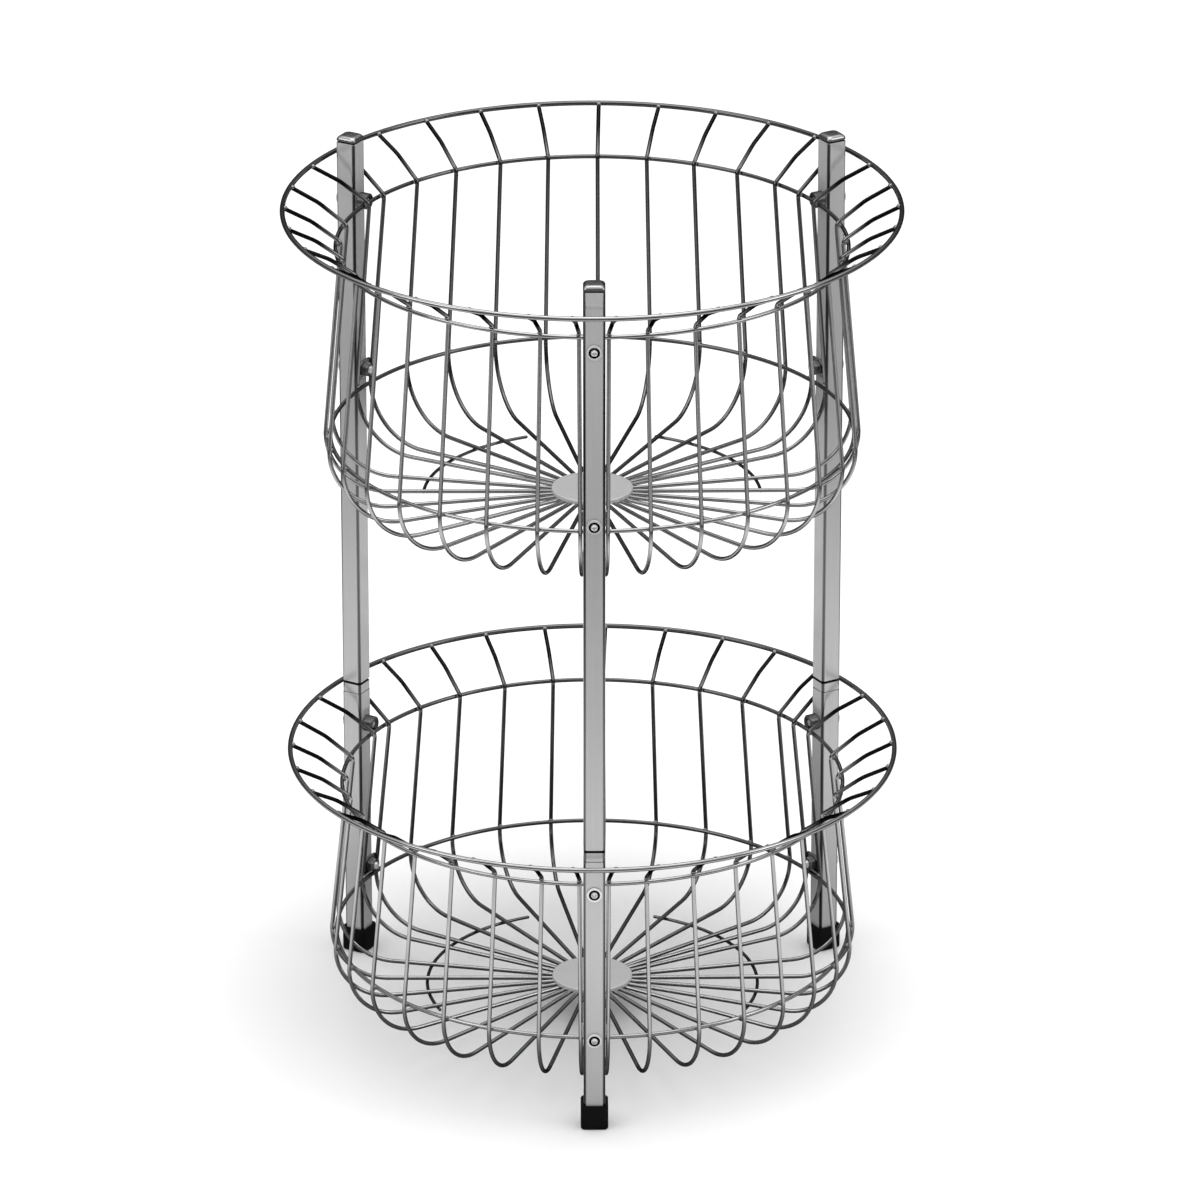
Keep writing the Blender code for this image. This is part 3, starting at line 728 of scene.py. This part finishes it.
rolled_wire = make_rolled_wire()
SEAM = math.radians(66)
BACK = 90
ARC_START = 23
ARC_SHADE = 0.6
for tier, sizes in TIERS.items():
    place = neck_hoop(sizes, HOOP_OFFSET)
    hoops = {
        "rim": (RIM_RADIUS, sizes["rim"], RIM_WIRE),
        "neck": (place.x, place.y, WIRE),
        "low": (WALL_RADIUS - HOOP_OFFSET, sizes["hoop"], WIRE),
    }
    for label, (radius, height, wire) in hoops.items():
        values = {"Radius": radius, "Height": height, "Wire": wire, "Start": SEAM}
        values["Material"] = wire_chrome
        pieces[tier, label] = grow(f"{tier}_{label}_hoop", rolled_wire, values)
    under = sizes["base"] - (WIRE + ARC_WIRE) / 2
    for label, sign in (("left", 1), ("right", -1)):
        start = math.radians(BACK + sign * ARC_START)
        turn = math.radians(sign * (sizes["arc_end"] - ARC_START))
        values = {
            "Radius": ARC_RADIUS, "Height": under, "Wire": ARC_WIRE, "Start": start, "Turn": turn,
            "Steps": 40, "Seam": 0.0, "Shade": ARC_SHADE, "Material": wire_chrome,
        }
        pieces[tier, "arc_" + label] = grow(f"{tier}_arc_{label}", rolled_wire, values)

# %% [markdown]
# ## Pieces that are lofted
# The tubes, caps and shoes are square with round corners, and the screws are turned. Both are
# stacks of outlines joined by faces, so one helper makes them all. The round corners get eight
# steps, and each flat keeps two guard points near its ends, so that smooth shading bends only at
# the corner and the flat stays flat.


# %% Helpers for lofted pieces
CORNER_STEPS = 8
CIRCLE_STEPS = 40
GUARD = 0.0002
SHARP = 35


def square_outline(width, corner):
    """A square with round corners, as points round the Z axis."""
    reach = width / 2 - corner
    points = []
    for quarter in range(4):
        start = quarter * math.pi / 2
        middle = start + math.pi / 4
        sides = (math.cos(middle), math.sin(middle))
        centre = Vector([math.copysign(reach, side) for side in sides])
        arc = []
        for step in range(CORNER_STEPS + 1):
            turn = start + step * math.pi / 2 / CORNER_STEPS
            arc.append(centre + corner * Vector((math.cos(turn), math.sin(turn))))
        before = arc[0] + GUARD * Vector((math.sin(start), -math.cos(start)))
        ending = start + math.pi / 2
        after = arc[-1] + GUARD * Vector((-math.sin(ending), math.cos(ending)))
        points += [before, *arc, after]
    return points


def corner_share(place):
    """One in the middle of a round corner and zero on the flats, for a point of an outline."""
    step = place % (CORNER_STEPS + 3) - 1
    return math.sin(math.pi * min(max(step, 0), CORNER_STEPS) / CORNER_STEPS)


def paint(model, label, share_at):
    """Keeps a value on each point, which the finish then reads."""
    layer = model.verts.layers.float.new(label)
    for place, vert in enumerate(model.verts):
        vert[layer] = share_at(place, vert.co.z)


def round_outline(radius, steps=CIRCLE_STEPS):
    """A circle, as points round the axis."""
    turns = [math.tau * step / steps for step in range(steps)]
    return [Vector((radius * math.cos(turn), radius * math.sin(turn))) for turn in turns]


def loft(model, outlines, closed=False):
    """Joins outlines (points, height) with faces, and caps the ends unless it is closed."""
    loops = []
    for points, height in outlines:
        loops.append([model.verts.new((*point, height)) for point in points])
    following = loops[1:] + loops[:1] if closed else loops[1:]
    for low, high in zip(loops, following):
        for side in range(len(low)):
            after = (side + 1) % len(low)
            model.faces.new((low[side], low[after], high[after], high[side]))
    if not closed:
        model.faces.new(list(reversed(loops[0])))
        model.faces.new(loops[-1])


def swing(model, matrix, start=0):
    """Turns the points of a bmesh, from one of them on."""
    model.verts.ensure_lookup_table()
    bmesh.ops.transform(model, matrix=matrix, verts=model.verts[start:])


def mesh_of(name, model, sharp=SHARP):
    """Finishes a bmesh: normals out, smooth sides and sharp edges."""
    bmesh.ops.recalc_face_normals(model, faces=model.faces)
    mesh = bpy.data.meshes.new(name)
    model.to_mesh(mesh)
    model.free()
    mesh.shade_smooth()
    mesh.set_sharp_from_angle(angle=math.radians(sharp))
    return mesh


# %% [markdown]
# Everything on a post is there three times, 120 degrees apart. This tree takes one mesh, modelled
# on the +X side, and sets a copy of it at each post.


# %% Tree: one at each post
def make_at_each_post():
    inputs = GEOMETRY | {"Posts": 3, "First post": FIRST_POST, "Material": post_satin}
    tree, given, result = start_tree("at_each_post", inputs, GEOMETRY)
    points = output(tree, "GeometryNodePoints", {"Count": given["Posts"]})
    one = output(tree, "GeometryNodeGeometryToInstance", {"Geometry": given["Geometry"]})
    index = output(tree, "GeometryNodeInputIndex")
    step = reckon(tree, "DIVIDE", math.tau, given["Posts"])
    azimuth = reckon(tree, "MULTIPLY_ADD", index, step, given["First post"])
    placed = {"Points": points, "Instance": one, "Rotation": turn_about_z(tree, azimuth)}
    copies = output(tree, "GeometryNodeInstanceOnPoints", placed)
    dress(tree, result, copies, given["Material"])
    return tree


at_each_post = make_at_each_post()


def set_at_posts(tier, label, name, material, seed):
    pieces[tier, label] = grow(f"{tier}_{name}", at_each_post, {"Material": material}, seed)

# %% [markdown]
# ## Posts
# Each tier has three lengths of square tube. The saw cut at their ends is lightly broken, which,
# with painted shade on the broken edges and the ends of the bore, leaves a fine dark line under
# each cap.

# %% Posts
POST_WIDTH = 0.0127
POST_CORNER = 0.002
POST_BORE = 0.0105
POST_LINE = 0.1639
BORE_CORNER = 0.0009
BREAK = 0.0003
CUT_SHADE = 0.6


def edged(width):
    """The outline of a square piece, and the same one drawn in by a broken edge."""
    return [square_outline(width - 2 * inset, POST_CORNER - inset) for inset in (0.0, BREAK)]


def on_post_line(name, model, height=0.0, sharp=SHARP):
    """Moves a bmesh out to the post's line and up, and keeps it as a mesh."""
    bmesh.ops.translate(model, verts=model.verts, vec=(POST_LINE, 0, height))
    return mesh_of(name, model, sharp)


def post_mesh(name, foot, top):
    model = bmesh.new()
    outer, broken = edged(POST_WIDTH)
    bore = square_outline(POST_BORE, BORE_CORNER)
    outlines = [
        (broken, foot), (outer, foot + BREAK), (outer, foot + BREAK + GUARD),
        (outer, top - BREAK - GUARD), (outer, top - BREAK), (broken, top),
        (bore, top), (bore, foot),
    ]
    loft(model, outlines, closed=True)
    # The corner value polishes the round corners and also darkens their colour as painted shade.
    paint(model, "corner", lambda place, z: corner_share(place))
    # Painted shade: the broken edges and the ends of the bore are darkened.
    near = BREAK / 2
    paint(model, "shade", lambda place, z: CUT_SHADE if min(z - foot, top - z) < near else 0.0)
    return on_post_line(name, model)


for tier in TIERS:
    low_corner, high_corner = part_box(tier + "_post_front")
    seed = post_mesh(tier + "_post", low_corner.z, high_corner.z)
    TIERS[tier]["post_top"] = high_corner.z
    set_at_posts(tier, "posts", "posts", post_satin, seed)
    print(tier, "posts from", round(low_corner.z, 4), "to", round(high_corner.z, 4))

# %% [markdown]
# ## Caps
# A chromed cap closes each upper post. It is a block as wide as the tube with a domed top and a
# softly broken lower edge, on a plug that is pressed into the tube. Between the tiers a stacking
# cap does the same job, and its spigot carries the upper post.

# %% Domed caps and stacking caps
PLUG_WIDTH = 0.0099
PLUG_DEPTH = 0.01
GROOVE = 0.0009
SEAM_GROOVE = 0.0013
CAP_HEIGHT = 0.0036
CAP_EDGE = 0.0026
DOME_STEPS = 8
DOME_SOFTNESS = 0.35
COLLAR_STEP = 0.0001
SPIGOT_LENGTH = 0.020
SPIGOT_TAPER = 0.001
plug = square_outline(PLUG_WIDTH, BORE_CORNER)


def cap_mesh(top):
    model = bmesh.new()
    body, broken = edged(POST_WIDTH)
    foot = top + GROOVE
    outlines = [(plug, top - PLUG_DEPTH), (plug, foot), (broken, foot), (body, foot + BREAK)]
    shoulder = top + GAP + CAP_HEIGHT - CAP_EDGE
    for step in range(DOME_STEPS + 1):
        turn = step * math.pi / 2 / DOME_STEPS
        inset = CAP_EDGE * (1 - math.cos(turn))
        dome = square_outline(POST_WIDTH - 2 * inset, POST_CORNER + inset * DOME_SOFTNESS)
        outlines.append((dome, shoulder + CAP_EDGE * math.sin(turn)))
    loft(model, outlines)
    # Painted shade: the plug and the cap's broken lower edge are painted black, for the dark gap
    # under the cap.
    paint(model, "shade", lambda place, z: 1.0 if z < foot + BREAK / 2 else 0.0)
    return on_post_line("domed_cap", model, sharp=50)


def stacking_mesh(top, seat):
    model = bmesh.new()
    body, broken = edged(POST_WIDTH - 2 * COLLAR_STEP)
    head = seat - SEAM_GROOVE
    foot = top + GAP / 2
    tip = head + SPIGOT_LENGTH
    outlines = [
        (plug, top - PLUG_DEPTH), (plug, foot), (broken, foot), (body, foot + BREAK),
        (body, head - BREAK), (broken, head), (plug, head), (plug, seat), (plug, seat + GUARD),
        (plug, tip - SPIGOT_TAPER),
        (square_outline(PLUG_WIDTH - 2 * SPIGOT_TAPER, BORE_CORNER), tip),
    ]
    loft(model, outlines)
    # The corner value polishes the round corners and also darkens their colour as painted shade.
    paint(model, "corner", lambda place, z: corner_share(place))
    # Painted shade: the seam groove under the upper post and the spigot's foot are painted black.
    lowest, highest = head - BREAK / 2, seat + GUARD / 2
    paint(model, "shade", lambda place, z: 1.0 if lowest < z < highest else 0.0)
    return on_post_line("stacking_cap", model)


set_at_posts("upper", "caps", "domed_caps", cap_chrome, cap_mesh(TIERS["upper"]["post_top"]))
seed = stacking_mesh(TIERS["lower"]["post_top"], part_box("upper_post_front")[0].z)
set_at_posts("lower", "caps", "stacking_caps", post_satin, seed)

# %% [markdown]
# ## Shoes
# The foot of each lower post stands in a black plastic shoe. It is a cup with a rounded bottom
# edge and a thin lip, and the tube fits in it with hardly any room to spare.

# %% Shoes
SHOE_WALL = 0.0014
SHOE_SOLE = 0.003
SHOE_HEIGHT = 0.0153
SHOE_CORNER = 0.0028
SHOE_EDGE = 0.0012
SHOE_STEPS = 4
LIP = 0.0004


def shoe_mesh():
    model = bmesh.new()
    hollow = POST_WIDTH + 2 * GAP
    width = hollow + 2 * SHOE_WALL
    body = square_outline(width, SHOE_CORNER)
    inside = square_outline(hollow, POST_CORNER)
    outlines = []
    for step in range(SHOE_STEPS + 1):
        turn = step * math.pi / 2 / SHOE_STEPS
        inset = SHOE_EDGE * (1 - math.sin(turn))
        outline = square_outline(width - 2 * inset, SHOE_CORNER - inset)
        outlines.append((outline, SHOE_EDGE * (1 - math.cos(turn))))
    outlines += [
        (body, SHOE_HEIGHT - LIP),
        (square_outline(width - LIP, SHOE_CORNER - LIP / 2), SHOE_HEIGHT),
        (square_outline(hollow + LIP, POST_CORNER + LIP / 2), SHOE_HEIGHT),
        (inside, SHOE_HEIGHT - LIP), (inside, SHOE_SOLE),
    ]
    loft(model, outlines)
    return on_post_line("shoe", model)


set_at_posts("lower", "shoes", "shoes", shoe_plastic, shoe_mesh())

# %% [markdown]
# ## Screws, nuts and bosses
# Two screws hold each post to its basket. The upper one runs through the post into a boss on the
# neck hoop, the lower one through a small lug between the pair of ribs into a hexagon nut. A
# turned head is a stack of circles round the screw's axis. The cross recess is cut with a Boolean,
# because a loft round the head can't follow its four arms, whose walls slope inwards.

# %% Helpers for turned pieces
OUTWARD = Matrix.Rotation(math.radians(90), 4, "Y")


def turned(model, profile, outline=round_outline, closed=False):
    """A piece turned round +X: the profile is (radius, distance out from the post's middle)."""
    loft(model, [(outline(radius), along) for radius, along in profile], closed)
    swing(model, OUTWARD)


# %% Screws
HEAD_RADIUS = 0.0046
HEAD_RISE = 0.0026
FLANGE = 0.0008
FLANGE_EDGE = 0.0002
FLANGE_SHARE = 0.6
GROOVE_SLOPE = 0.0001
GROOVE_RADIUS = 0.0033
BUTTON_RADIUS = 0.0020
BUTTON_STEPS = 7
SHANK = 0.0025
POINT = 0.0005
THREADS = 10
PITCH = 0.0007
THREAD_DEPTH = 0.0003
SEAT = POST_WIDTH / 2 + GAP
RECESS_LENGTHS = (0.0030, 0.0020)
RECESS_WIDTHS = (0.0009, 0.0006)
RECESS_DEPTH = 0.0011
OVERRUN = 0.001


def screw_profile(tip):
    """From the tip through the thread to a round head on a flange."""
    profile = [(SHANK - 2 * THREAD_DEPTH, tip), (SHANK - THREAD_DEPTH / 3, tip + POINT)]
    for turn in range(THREADS):
        root = tip + POINT + turn * PITCH
        profile += [(SHANK - THREAD_DEPTH, root + PITCH / 2), (SHANK, root + PITCH)]
    rim, floor = SEAT + FLANGE, SEAT + FLANGE / 3
    profile += [
        (SHANK, SEAT), (HEAD_RADIUS, SEAT), (HEAD_RADIUS, SEAT + FLANGE * FLANGE_SHARE),
        (HEAD_RADIUS - FLANGE_EDGE, rim), (GROOVE_RADIUS, rim),
        (GROOVE_RADIUS - GROOVE_SLOPE, floor), (BUTTON_RADIUS, floor),
    ]
    for step in range(BUTTON_STEPS):
        turn = step * math.pi / 2 / BUTTON_STEPS
        button = BUTTON_RADIUS * math.cos(turn), rim + (HEAD_RISE - FLANGE) * math.sin(turn)
        profile.append(button)
    return profile


def cross_cutter(top):
    """Two tapered bars that cross, for the driver's recess."""
    model = bmesh.new()
    corners = ((1, 1), (-1, 1), (-1, -1), (1, -1))
    ends = zip(RECESS_LENGTHS, RECESS_WIDTHS, (top + OVERRUN, top - RECESS_DEPTH))
    outlines = [
        ([Vector((x * length / 2, y * width / 2)) for x, y in corners], along)
        for length, width, along in ends
    ]
    for turn in (0, math.pi / 2):
        start = len(model.verts)
        loft(model, outlines)
        swing(model, OUTWARD @ Matrix.Rotation(turn, 4, "Z"), start)
    return mesh_of("cross_cutter", model)


def cut(name, mesh, cutter, height):
    """Cuts the recess, and moves the screw to its height on the post."""
    body = add_object(name, mesh)
    tool = add_object(name + "_tool", cutter)
    modifier = body.modifiers.new("recess", "BOOLEAN")
    modifier.operation = "DIFFERENCE"
    modifier.solver = "EXACT"
    modifier.use_self = True
    modifier.object = tool
    graph = bpy.context.evaluated_depsgraph_get()
    result = bpy.data.meshes.new_from_object(body.evaluated_get(graph), depsgraph=graph)
    for made in (body, tool):
        bpy.data.objects.remove(made)
    result.transform(Matrix.Translation((POST_LINE, 0, height)))
    result.set_sharp_from_angle(angle=math.radians(SHARP))
    return result


for tier in TIERS:
    for label in ("neck", "wall"):
        node = f"{tier}_{label}_screw_front"
        height = middle_height(node)
        tip = -POST_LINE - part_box(node)[1].y
        model = bmesh.new()
        profile = screw_profile(tip)
        turned(model, profile)
        # Painted shade: the groove round the button is painted black.
        grooved = [
            SEAT < along < SEAT + FLANGE / 2 and radius <= GROOVE_RADIUS
            for radius, along in profile
        ]
        paint(model, "shade", lambda place, z: 1.0 if grooved[place // CIRCLE_STEPS] else 0.0)
        screw = cut("screw", mesh_of("screw", model), cross_cutter(SEAT + HEAD_RISE), height)
        name = label + "_screws"
        set_at_posts(tier, name, name, screw_chrome, screw)
        print(tier, name, "at", round(height, 4), "tip at", round(tip, 4))

# %% [markdown]
# The bosses are plain bushes with broken edges. The nuts are hexagons whose corners were turned
# off on both faces, which the loft gets from a round outline at each end.

# %% Bosses and nuts
BOSS_RADIUS = 0.0049
BOSS_EDGE = 0.0004
HOLE_RADIUS = 0.0028
NUT_RADIUS = 0.0046
NUT_EDGE = 0.0005
NUT_FACE_SHARE = 0.87
NUT_BODY_SHARE = 1.01
NUT_STEPS = 48


def bush_mesh(name, face, body, edge, start, end, height, outline=round_outline):
    """A short tube with broken edges round the screw's hole."""
    model = bmesh.new()
    profile = [
        (face, start), (body, start + edge), (body, end - edge), (face, end),
        (HOLE_RADIUS, end), (HOLE_RADIUS, start),
    ]
    turned(model, profile, outline, closed=True)
    return on_post_line(name, model, height)


def boss_mesh(start, end, height):
    return bush_mesh("boss", BOSS_RADIUS - BOSS_EDGE, BOSS_RADIUS, BOSS_EDGE, start, end, height)


def nut_outline(radius):
    """A circle where it fits inside the hexagon, and the hexagon's flats elsewhere."""
    points = []
    for point in round_outline(1.0, NUT_STEPS):
        turn = math.atan2(point.y, point.x) % (math.pi / 3) - math.pi / 6
        flat = NUT_RADIUS * math.cos(math.pi / 6) / math.cos(turn)
        points.append(point * min(radius, flat))
    return points


def nut_mesh(start, end, height):
    face, body = NUT_RADIUS * NUT_FACE_SHARE, NUT_RADIUS * NUT_BODY_SHARE
    return bush_mesh("nut", face, body, NUT_EDGE, start, end, height, nut_outline)


for tier in TIERS:
    for label, part, make in (("bosses", "neck_boss", boss_mesh), ("nuts", "wall_nut", nut_mesh)):
        node = f"{tier}_{part}_front"
        low_corner, high_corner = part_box(node)
        seed = make(-POST_LINE - high_corner.y, -POST_LINE - low_corner.y, middle_height(node))
        set_at_posts(tier, label, label, nut_chrome, seed)

# %% [markdown]
# ## Lugs and discs
# The lug is a small pressed plate that bridges a pair of ribs. The disc lies on the ribs in the
# middle of the base and hides their ends.

# %% Lugs and discs
LUG_THICKNESS = 0.0015
LUG_MARGIN = 0.0022
LUG_CORNER = 0.0015
LUG_EDGE = 0.0003
WELD_DEPTH = 0.0008
DISC_THICKNESS = 0.0025
DISC_EDGE = 0.0005
DISC_STEPS = 96
SLIGHT_SHARE = 0.3


def lug_mesh(height):
    model = bmesh.new()
    width = 2 * (PAIR_OFFSET - WIRE / 2 + WELD_DEPTH)
    tall = 2 * (HOLE_RADIUS + LUG_MARGIN)

    def plate(inset):
        outline = square_outline(tall - 2 * inset, LUG_CORNER - inset)
        stretch = (width - tall) / 2
        return [Vector((point.x, point.y + math.copysign(stretch, point.y))) for point in outline]

    back = WALL_RADIUS - LUG_THICKNESS / 2
    front = WALL_RADIUS + LUG_THICKNESS / 2
    outlines = [
        (plate(LUG_EDGE), back), (plate(0.0), back + LUG_EDGE),
        (plate(0.0), front - LUG_EDGE), (plate(LUG_EDGE), front),
    ]
    loft(model, outlines)
    swing(model, OUTWARD)
    bmesh.ops.translate(model, verts=model.verts, vec=(0, 0, height))
    return mesh_of("lug", model)


def disc_mesh(name, under):
    model = bmesh.new()
    top = under + DISC_THICKNESS
    slight = DISC_EDGE * SLIGHT_SHARE
    insets = (
        (DISC_EDGE, under), (0.0, under + DISC_EDGE), (0.0, top - DISC_EDGE),
        (slight, top - slight), (DISC_EDGE, top), (2 * DISC_EDGE, top),
    )
    outlines = [
        (round_outline(DISC_RADIUS - inset, DISC_STEPS), height) for inset, height in insets
    ]
    loft(model, outlines)
    return mesh_of(name, model)


for tier, sizes in TIERS.items():
    seed = lug_mesh(middle_height(tier + "_wall_nut_front"))
    set_at_posts(tier, "lugs", "lugs", wire_chrome, seed)
    under = sizes["base"] + WIRE / 2 - WELD_DEPTH
    mesh = disc_mesh(tier + "_disc", under)
    mesh.materials.append(disc_satin)
    pieces[tier, "disc"] = add_object(tier + "_disc_plate", mesh)
    print(tier, "disc at", round(under, 4))

# %% [markdown]
# ## Riding on the tiers
# The upper tier lifts off, so every new piece is told which tier carries it. Each piece also says
# which plain solids it stands for, and those are hidden.

# %% Ride and replace
SIDES = ("front", "right", "left")
AT_POSTS = {
    "posts": "post", "neck_screws": "neck_screw", "wall_screws": "wall_screw",
    "bosses": "neck_boss", "nuts": "wall_nut",
}
STANDS_FOR = {label: [f"{node}_{side}" for side in SIDES] for label, node in AT_POSTS.items()}
STANDS_FOR |= {
    "ribs": ["basket_cage"], "rim": ["rim_ring"], "neck": ["neck_ring"], "low": ["low_ring"],
    "arc_left": ["base_arc_left"], "arc_right": ["base_arc_right"],
}
for (tier, label), piece in pieces.items():
    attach(piece, tier + "_tier")
    if label in STANDS_FOR:
        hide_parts(*[f"{tier}_{node}" for node in STANDS_FOR[label]])
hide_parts(*[f"post_cap_{side}" for side in SIDES])
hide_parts(*[f"stacking_cap_{side}" for side in SIDES])
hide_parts(*[f"foot_{side}" for side in SIDES])
print("Pieces:", len(pieces))

# %% [markdown]
# ## The studio
# The rack stands on a plain white floor. Chrome shows nothing but its surroundings, so the floor
# and the sky are given one look for the camera and a darker one for mirrored rays: a studio is
# dark outside its lamps, and that darkness draws the wires against the white. In the mirrored
# look the floor glows in two belts round the rack, which put the light streaks on the front ribs.
# A soft shadow is painted into the floor's colour under the rack, like the soft shadow in the
# photograph.

# %% Floor and sky
FLOOR_SIZE = 12.0
SHADOW_MIDDLE = (-0.02, 0.03, 0.0)
SHADOW_RANGE = (0.11, 0.29)
SHADOW_GREYS = (0.71, 0.95)
DIM_FLOOR = 0.06
BRIGHT_BELTS = ((0.10, 0.46, 1.02, 0.84), (1.20, 1.60, 1.98, 0.60))


def floor_material():
    material = bpy.data.materials.new("pale_floor")
    material.use_nodes = True
    tree = material.node_tree
    shader = tree.nodes["Principled BSDF"]
    shader.inputs["Roughness"].default_value = 0.9
    shader.inputs["Specular IOR Level"].default_value = 0.0
    place = put(tree, "ShaderNodeTexCoord").outputs["Object"]
    away = {0: place, 1: SHADOW_MIDDLE}
    away = put(tree, "ShaderNodeVectorMath", away, operation="DISTANCE").outputs["Value"]
    # Painted shadow: the floor's colour is darker round the middle of the rack.
    shade = ramp(tree, away, *SHADOW_RANGE, *SHADOW_GREYS)
    tree.links.new(shade, shader.inputs["Base Color"])
    far = put(tree, "ShaderNodeVectorMath", {0: place}, operation="LENGTH").outputs["Value"]
    strength = DIM_FLOOR
    for inner, middle, outer, brightness in BRIGHT_BELTS:
        rising = ramp(tree, far, inner, middle, 0.0, brightness)
        falling = ramp(tree, far, middle, outer, brightness, 0.0)
        strength = reckon(tree, "ADD", strength, reckon(tree, "MINIMUM", rising, falling))
    mirrored = output(tree, "ShaderNodeEmission", {"Color": (1, 1, 1, 1), "Strength": strength})
    path = put(tree, "ShaderNodeLightPath").outputs["Is Glossy Ray"]
    mix = output(tree, "ShaderNodeMixShader", {0: path, 1: shader.outputs[0], 2: mirrored})
    tree.links.new(mix, tree.nodes["Material Output"].inputs["Surface"])
    return material


floor_mesh = bpy.data.meshes.new("floor")
half = FLOOR_SIZE / 2
corners = [(-half, -half, 0), (half, -half, 0), (half, half, 0), (-half, half, 0)]
floor_mesh.from_pydata(corners, [], [(0, 1, 2, 3)])
floor_mesh.materials.append(floor_material())
floor = add_object("floor", floor_mesh)

SKY_LIGHT = 1.06
SEEN_SKY = 1.0
MIRRORED_HEIGHTS = (0.25, 0.9)
MIRRORED_GREYS = (0.05, 0.68)

world = bpy.data.worlds.new("studio")
bpy.context.scene.world = world
world.use_nodes = True
sky = world.node_tree
sky.nodes.clear()
direction = put(sky, "ShaderNodeTexCoord").outputs["Generated"]
height = put(sky, "ShaderNodeSeparateXYZ", {0: direction}).outputs["Z"]
above = ramp(sky, height, *MIRRORED_HEIGHTS, *MIRRORED_GREYS)
path = put(sky, "ShaderNodeLightPath").outputs
lit, mirrored, seen = (
    output(sky, "ShaderNodeBackground", {"Color": (1, 1, 1, 1), "Strength": strength})
    for strength in (SKY_LIGHT, above, SEEN_SKY)
)
surface = output(sky, "ShaderNodeMixShader", {0: path["Is Glossy Ray"], 1: lit, 2: mirrored})
surface = output(sky, "ShaderNodeMixShader", {0: path["Is Camera Ray"], 1: surface, 2: seen})
put(sky, "ShaderNodeOutputWorld", {"Surface": surface})


# %% Soft lamps
def softbox(name, place, aim, size, power):
    """A square lamp that faces a point."""
    lamp = bpy.data.lights.new(name, "AREA")
    lamp.size = size
    lamp.energy = power
    made = add_object(name, lamp)
    made.location = place
    made.rotation_euler = (Vector(aim) - Vector(place)).to_track_quat("-Z", "Y").to_euler()
    print(name, "at", place, "power", power)


softbox("top_softbox", (0.0, 0.2, 2.2), (0, 0, 0.2), 1.6, 9)
softbox("left_softbox", (-1.7, -0.9, 1.5), (0, 0, 0.3), 1.0, 5)
softbox("right_softbox", (1.7, -0.5, 1.3), (0, 0, 0.3), 0.8, 4)

# %% [markdown]
# ## The camera
# The photograph was taken from in front and about 23 degrees above, with a long lens from well
# back, so that the two rims come out nearly equal in size.

# %% Camera
DISTANCE = 5.2
ELEVATION = math.radians(22.95)
SIDESTEP = Matrix.Rotation(math.radians(-0.465), 3, "Z")
AIM_ACROSS = 0.0046
AIM_DROP = 0.2476
TARGET = SIDESTEP @ Vector((AIM_ACROSS, 0.0, TIERS["upper"]["rim"] - AIM_DROP))
lens = bpy.data.cameras.new("camera")
lens.sensor_width = 36.0
lens.lens = 263.5
camera = add_object("camera", lens)
back = SIDESTEP @ Vector((0, -math.cos(ELEVATION), math.sin(ELEVATION)))
camera.location = TARGET + DISTANCE * back
camera.rotation_euler = (-back).to_track_quat("-Z", "Y").to_euler()
bpy.context.scene.camera = camera
bpy.context.scene.view_settings.view_transform = "Standard"
print("Camera at", [round(value, 3) for value in camera.location])
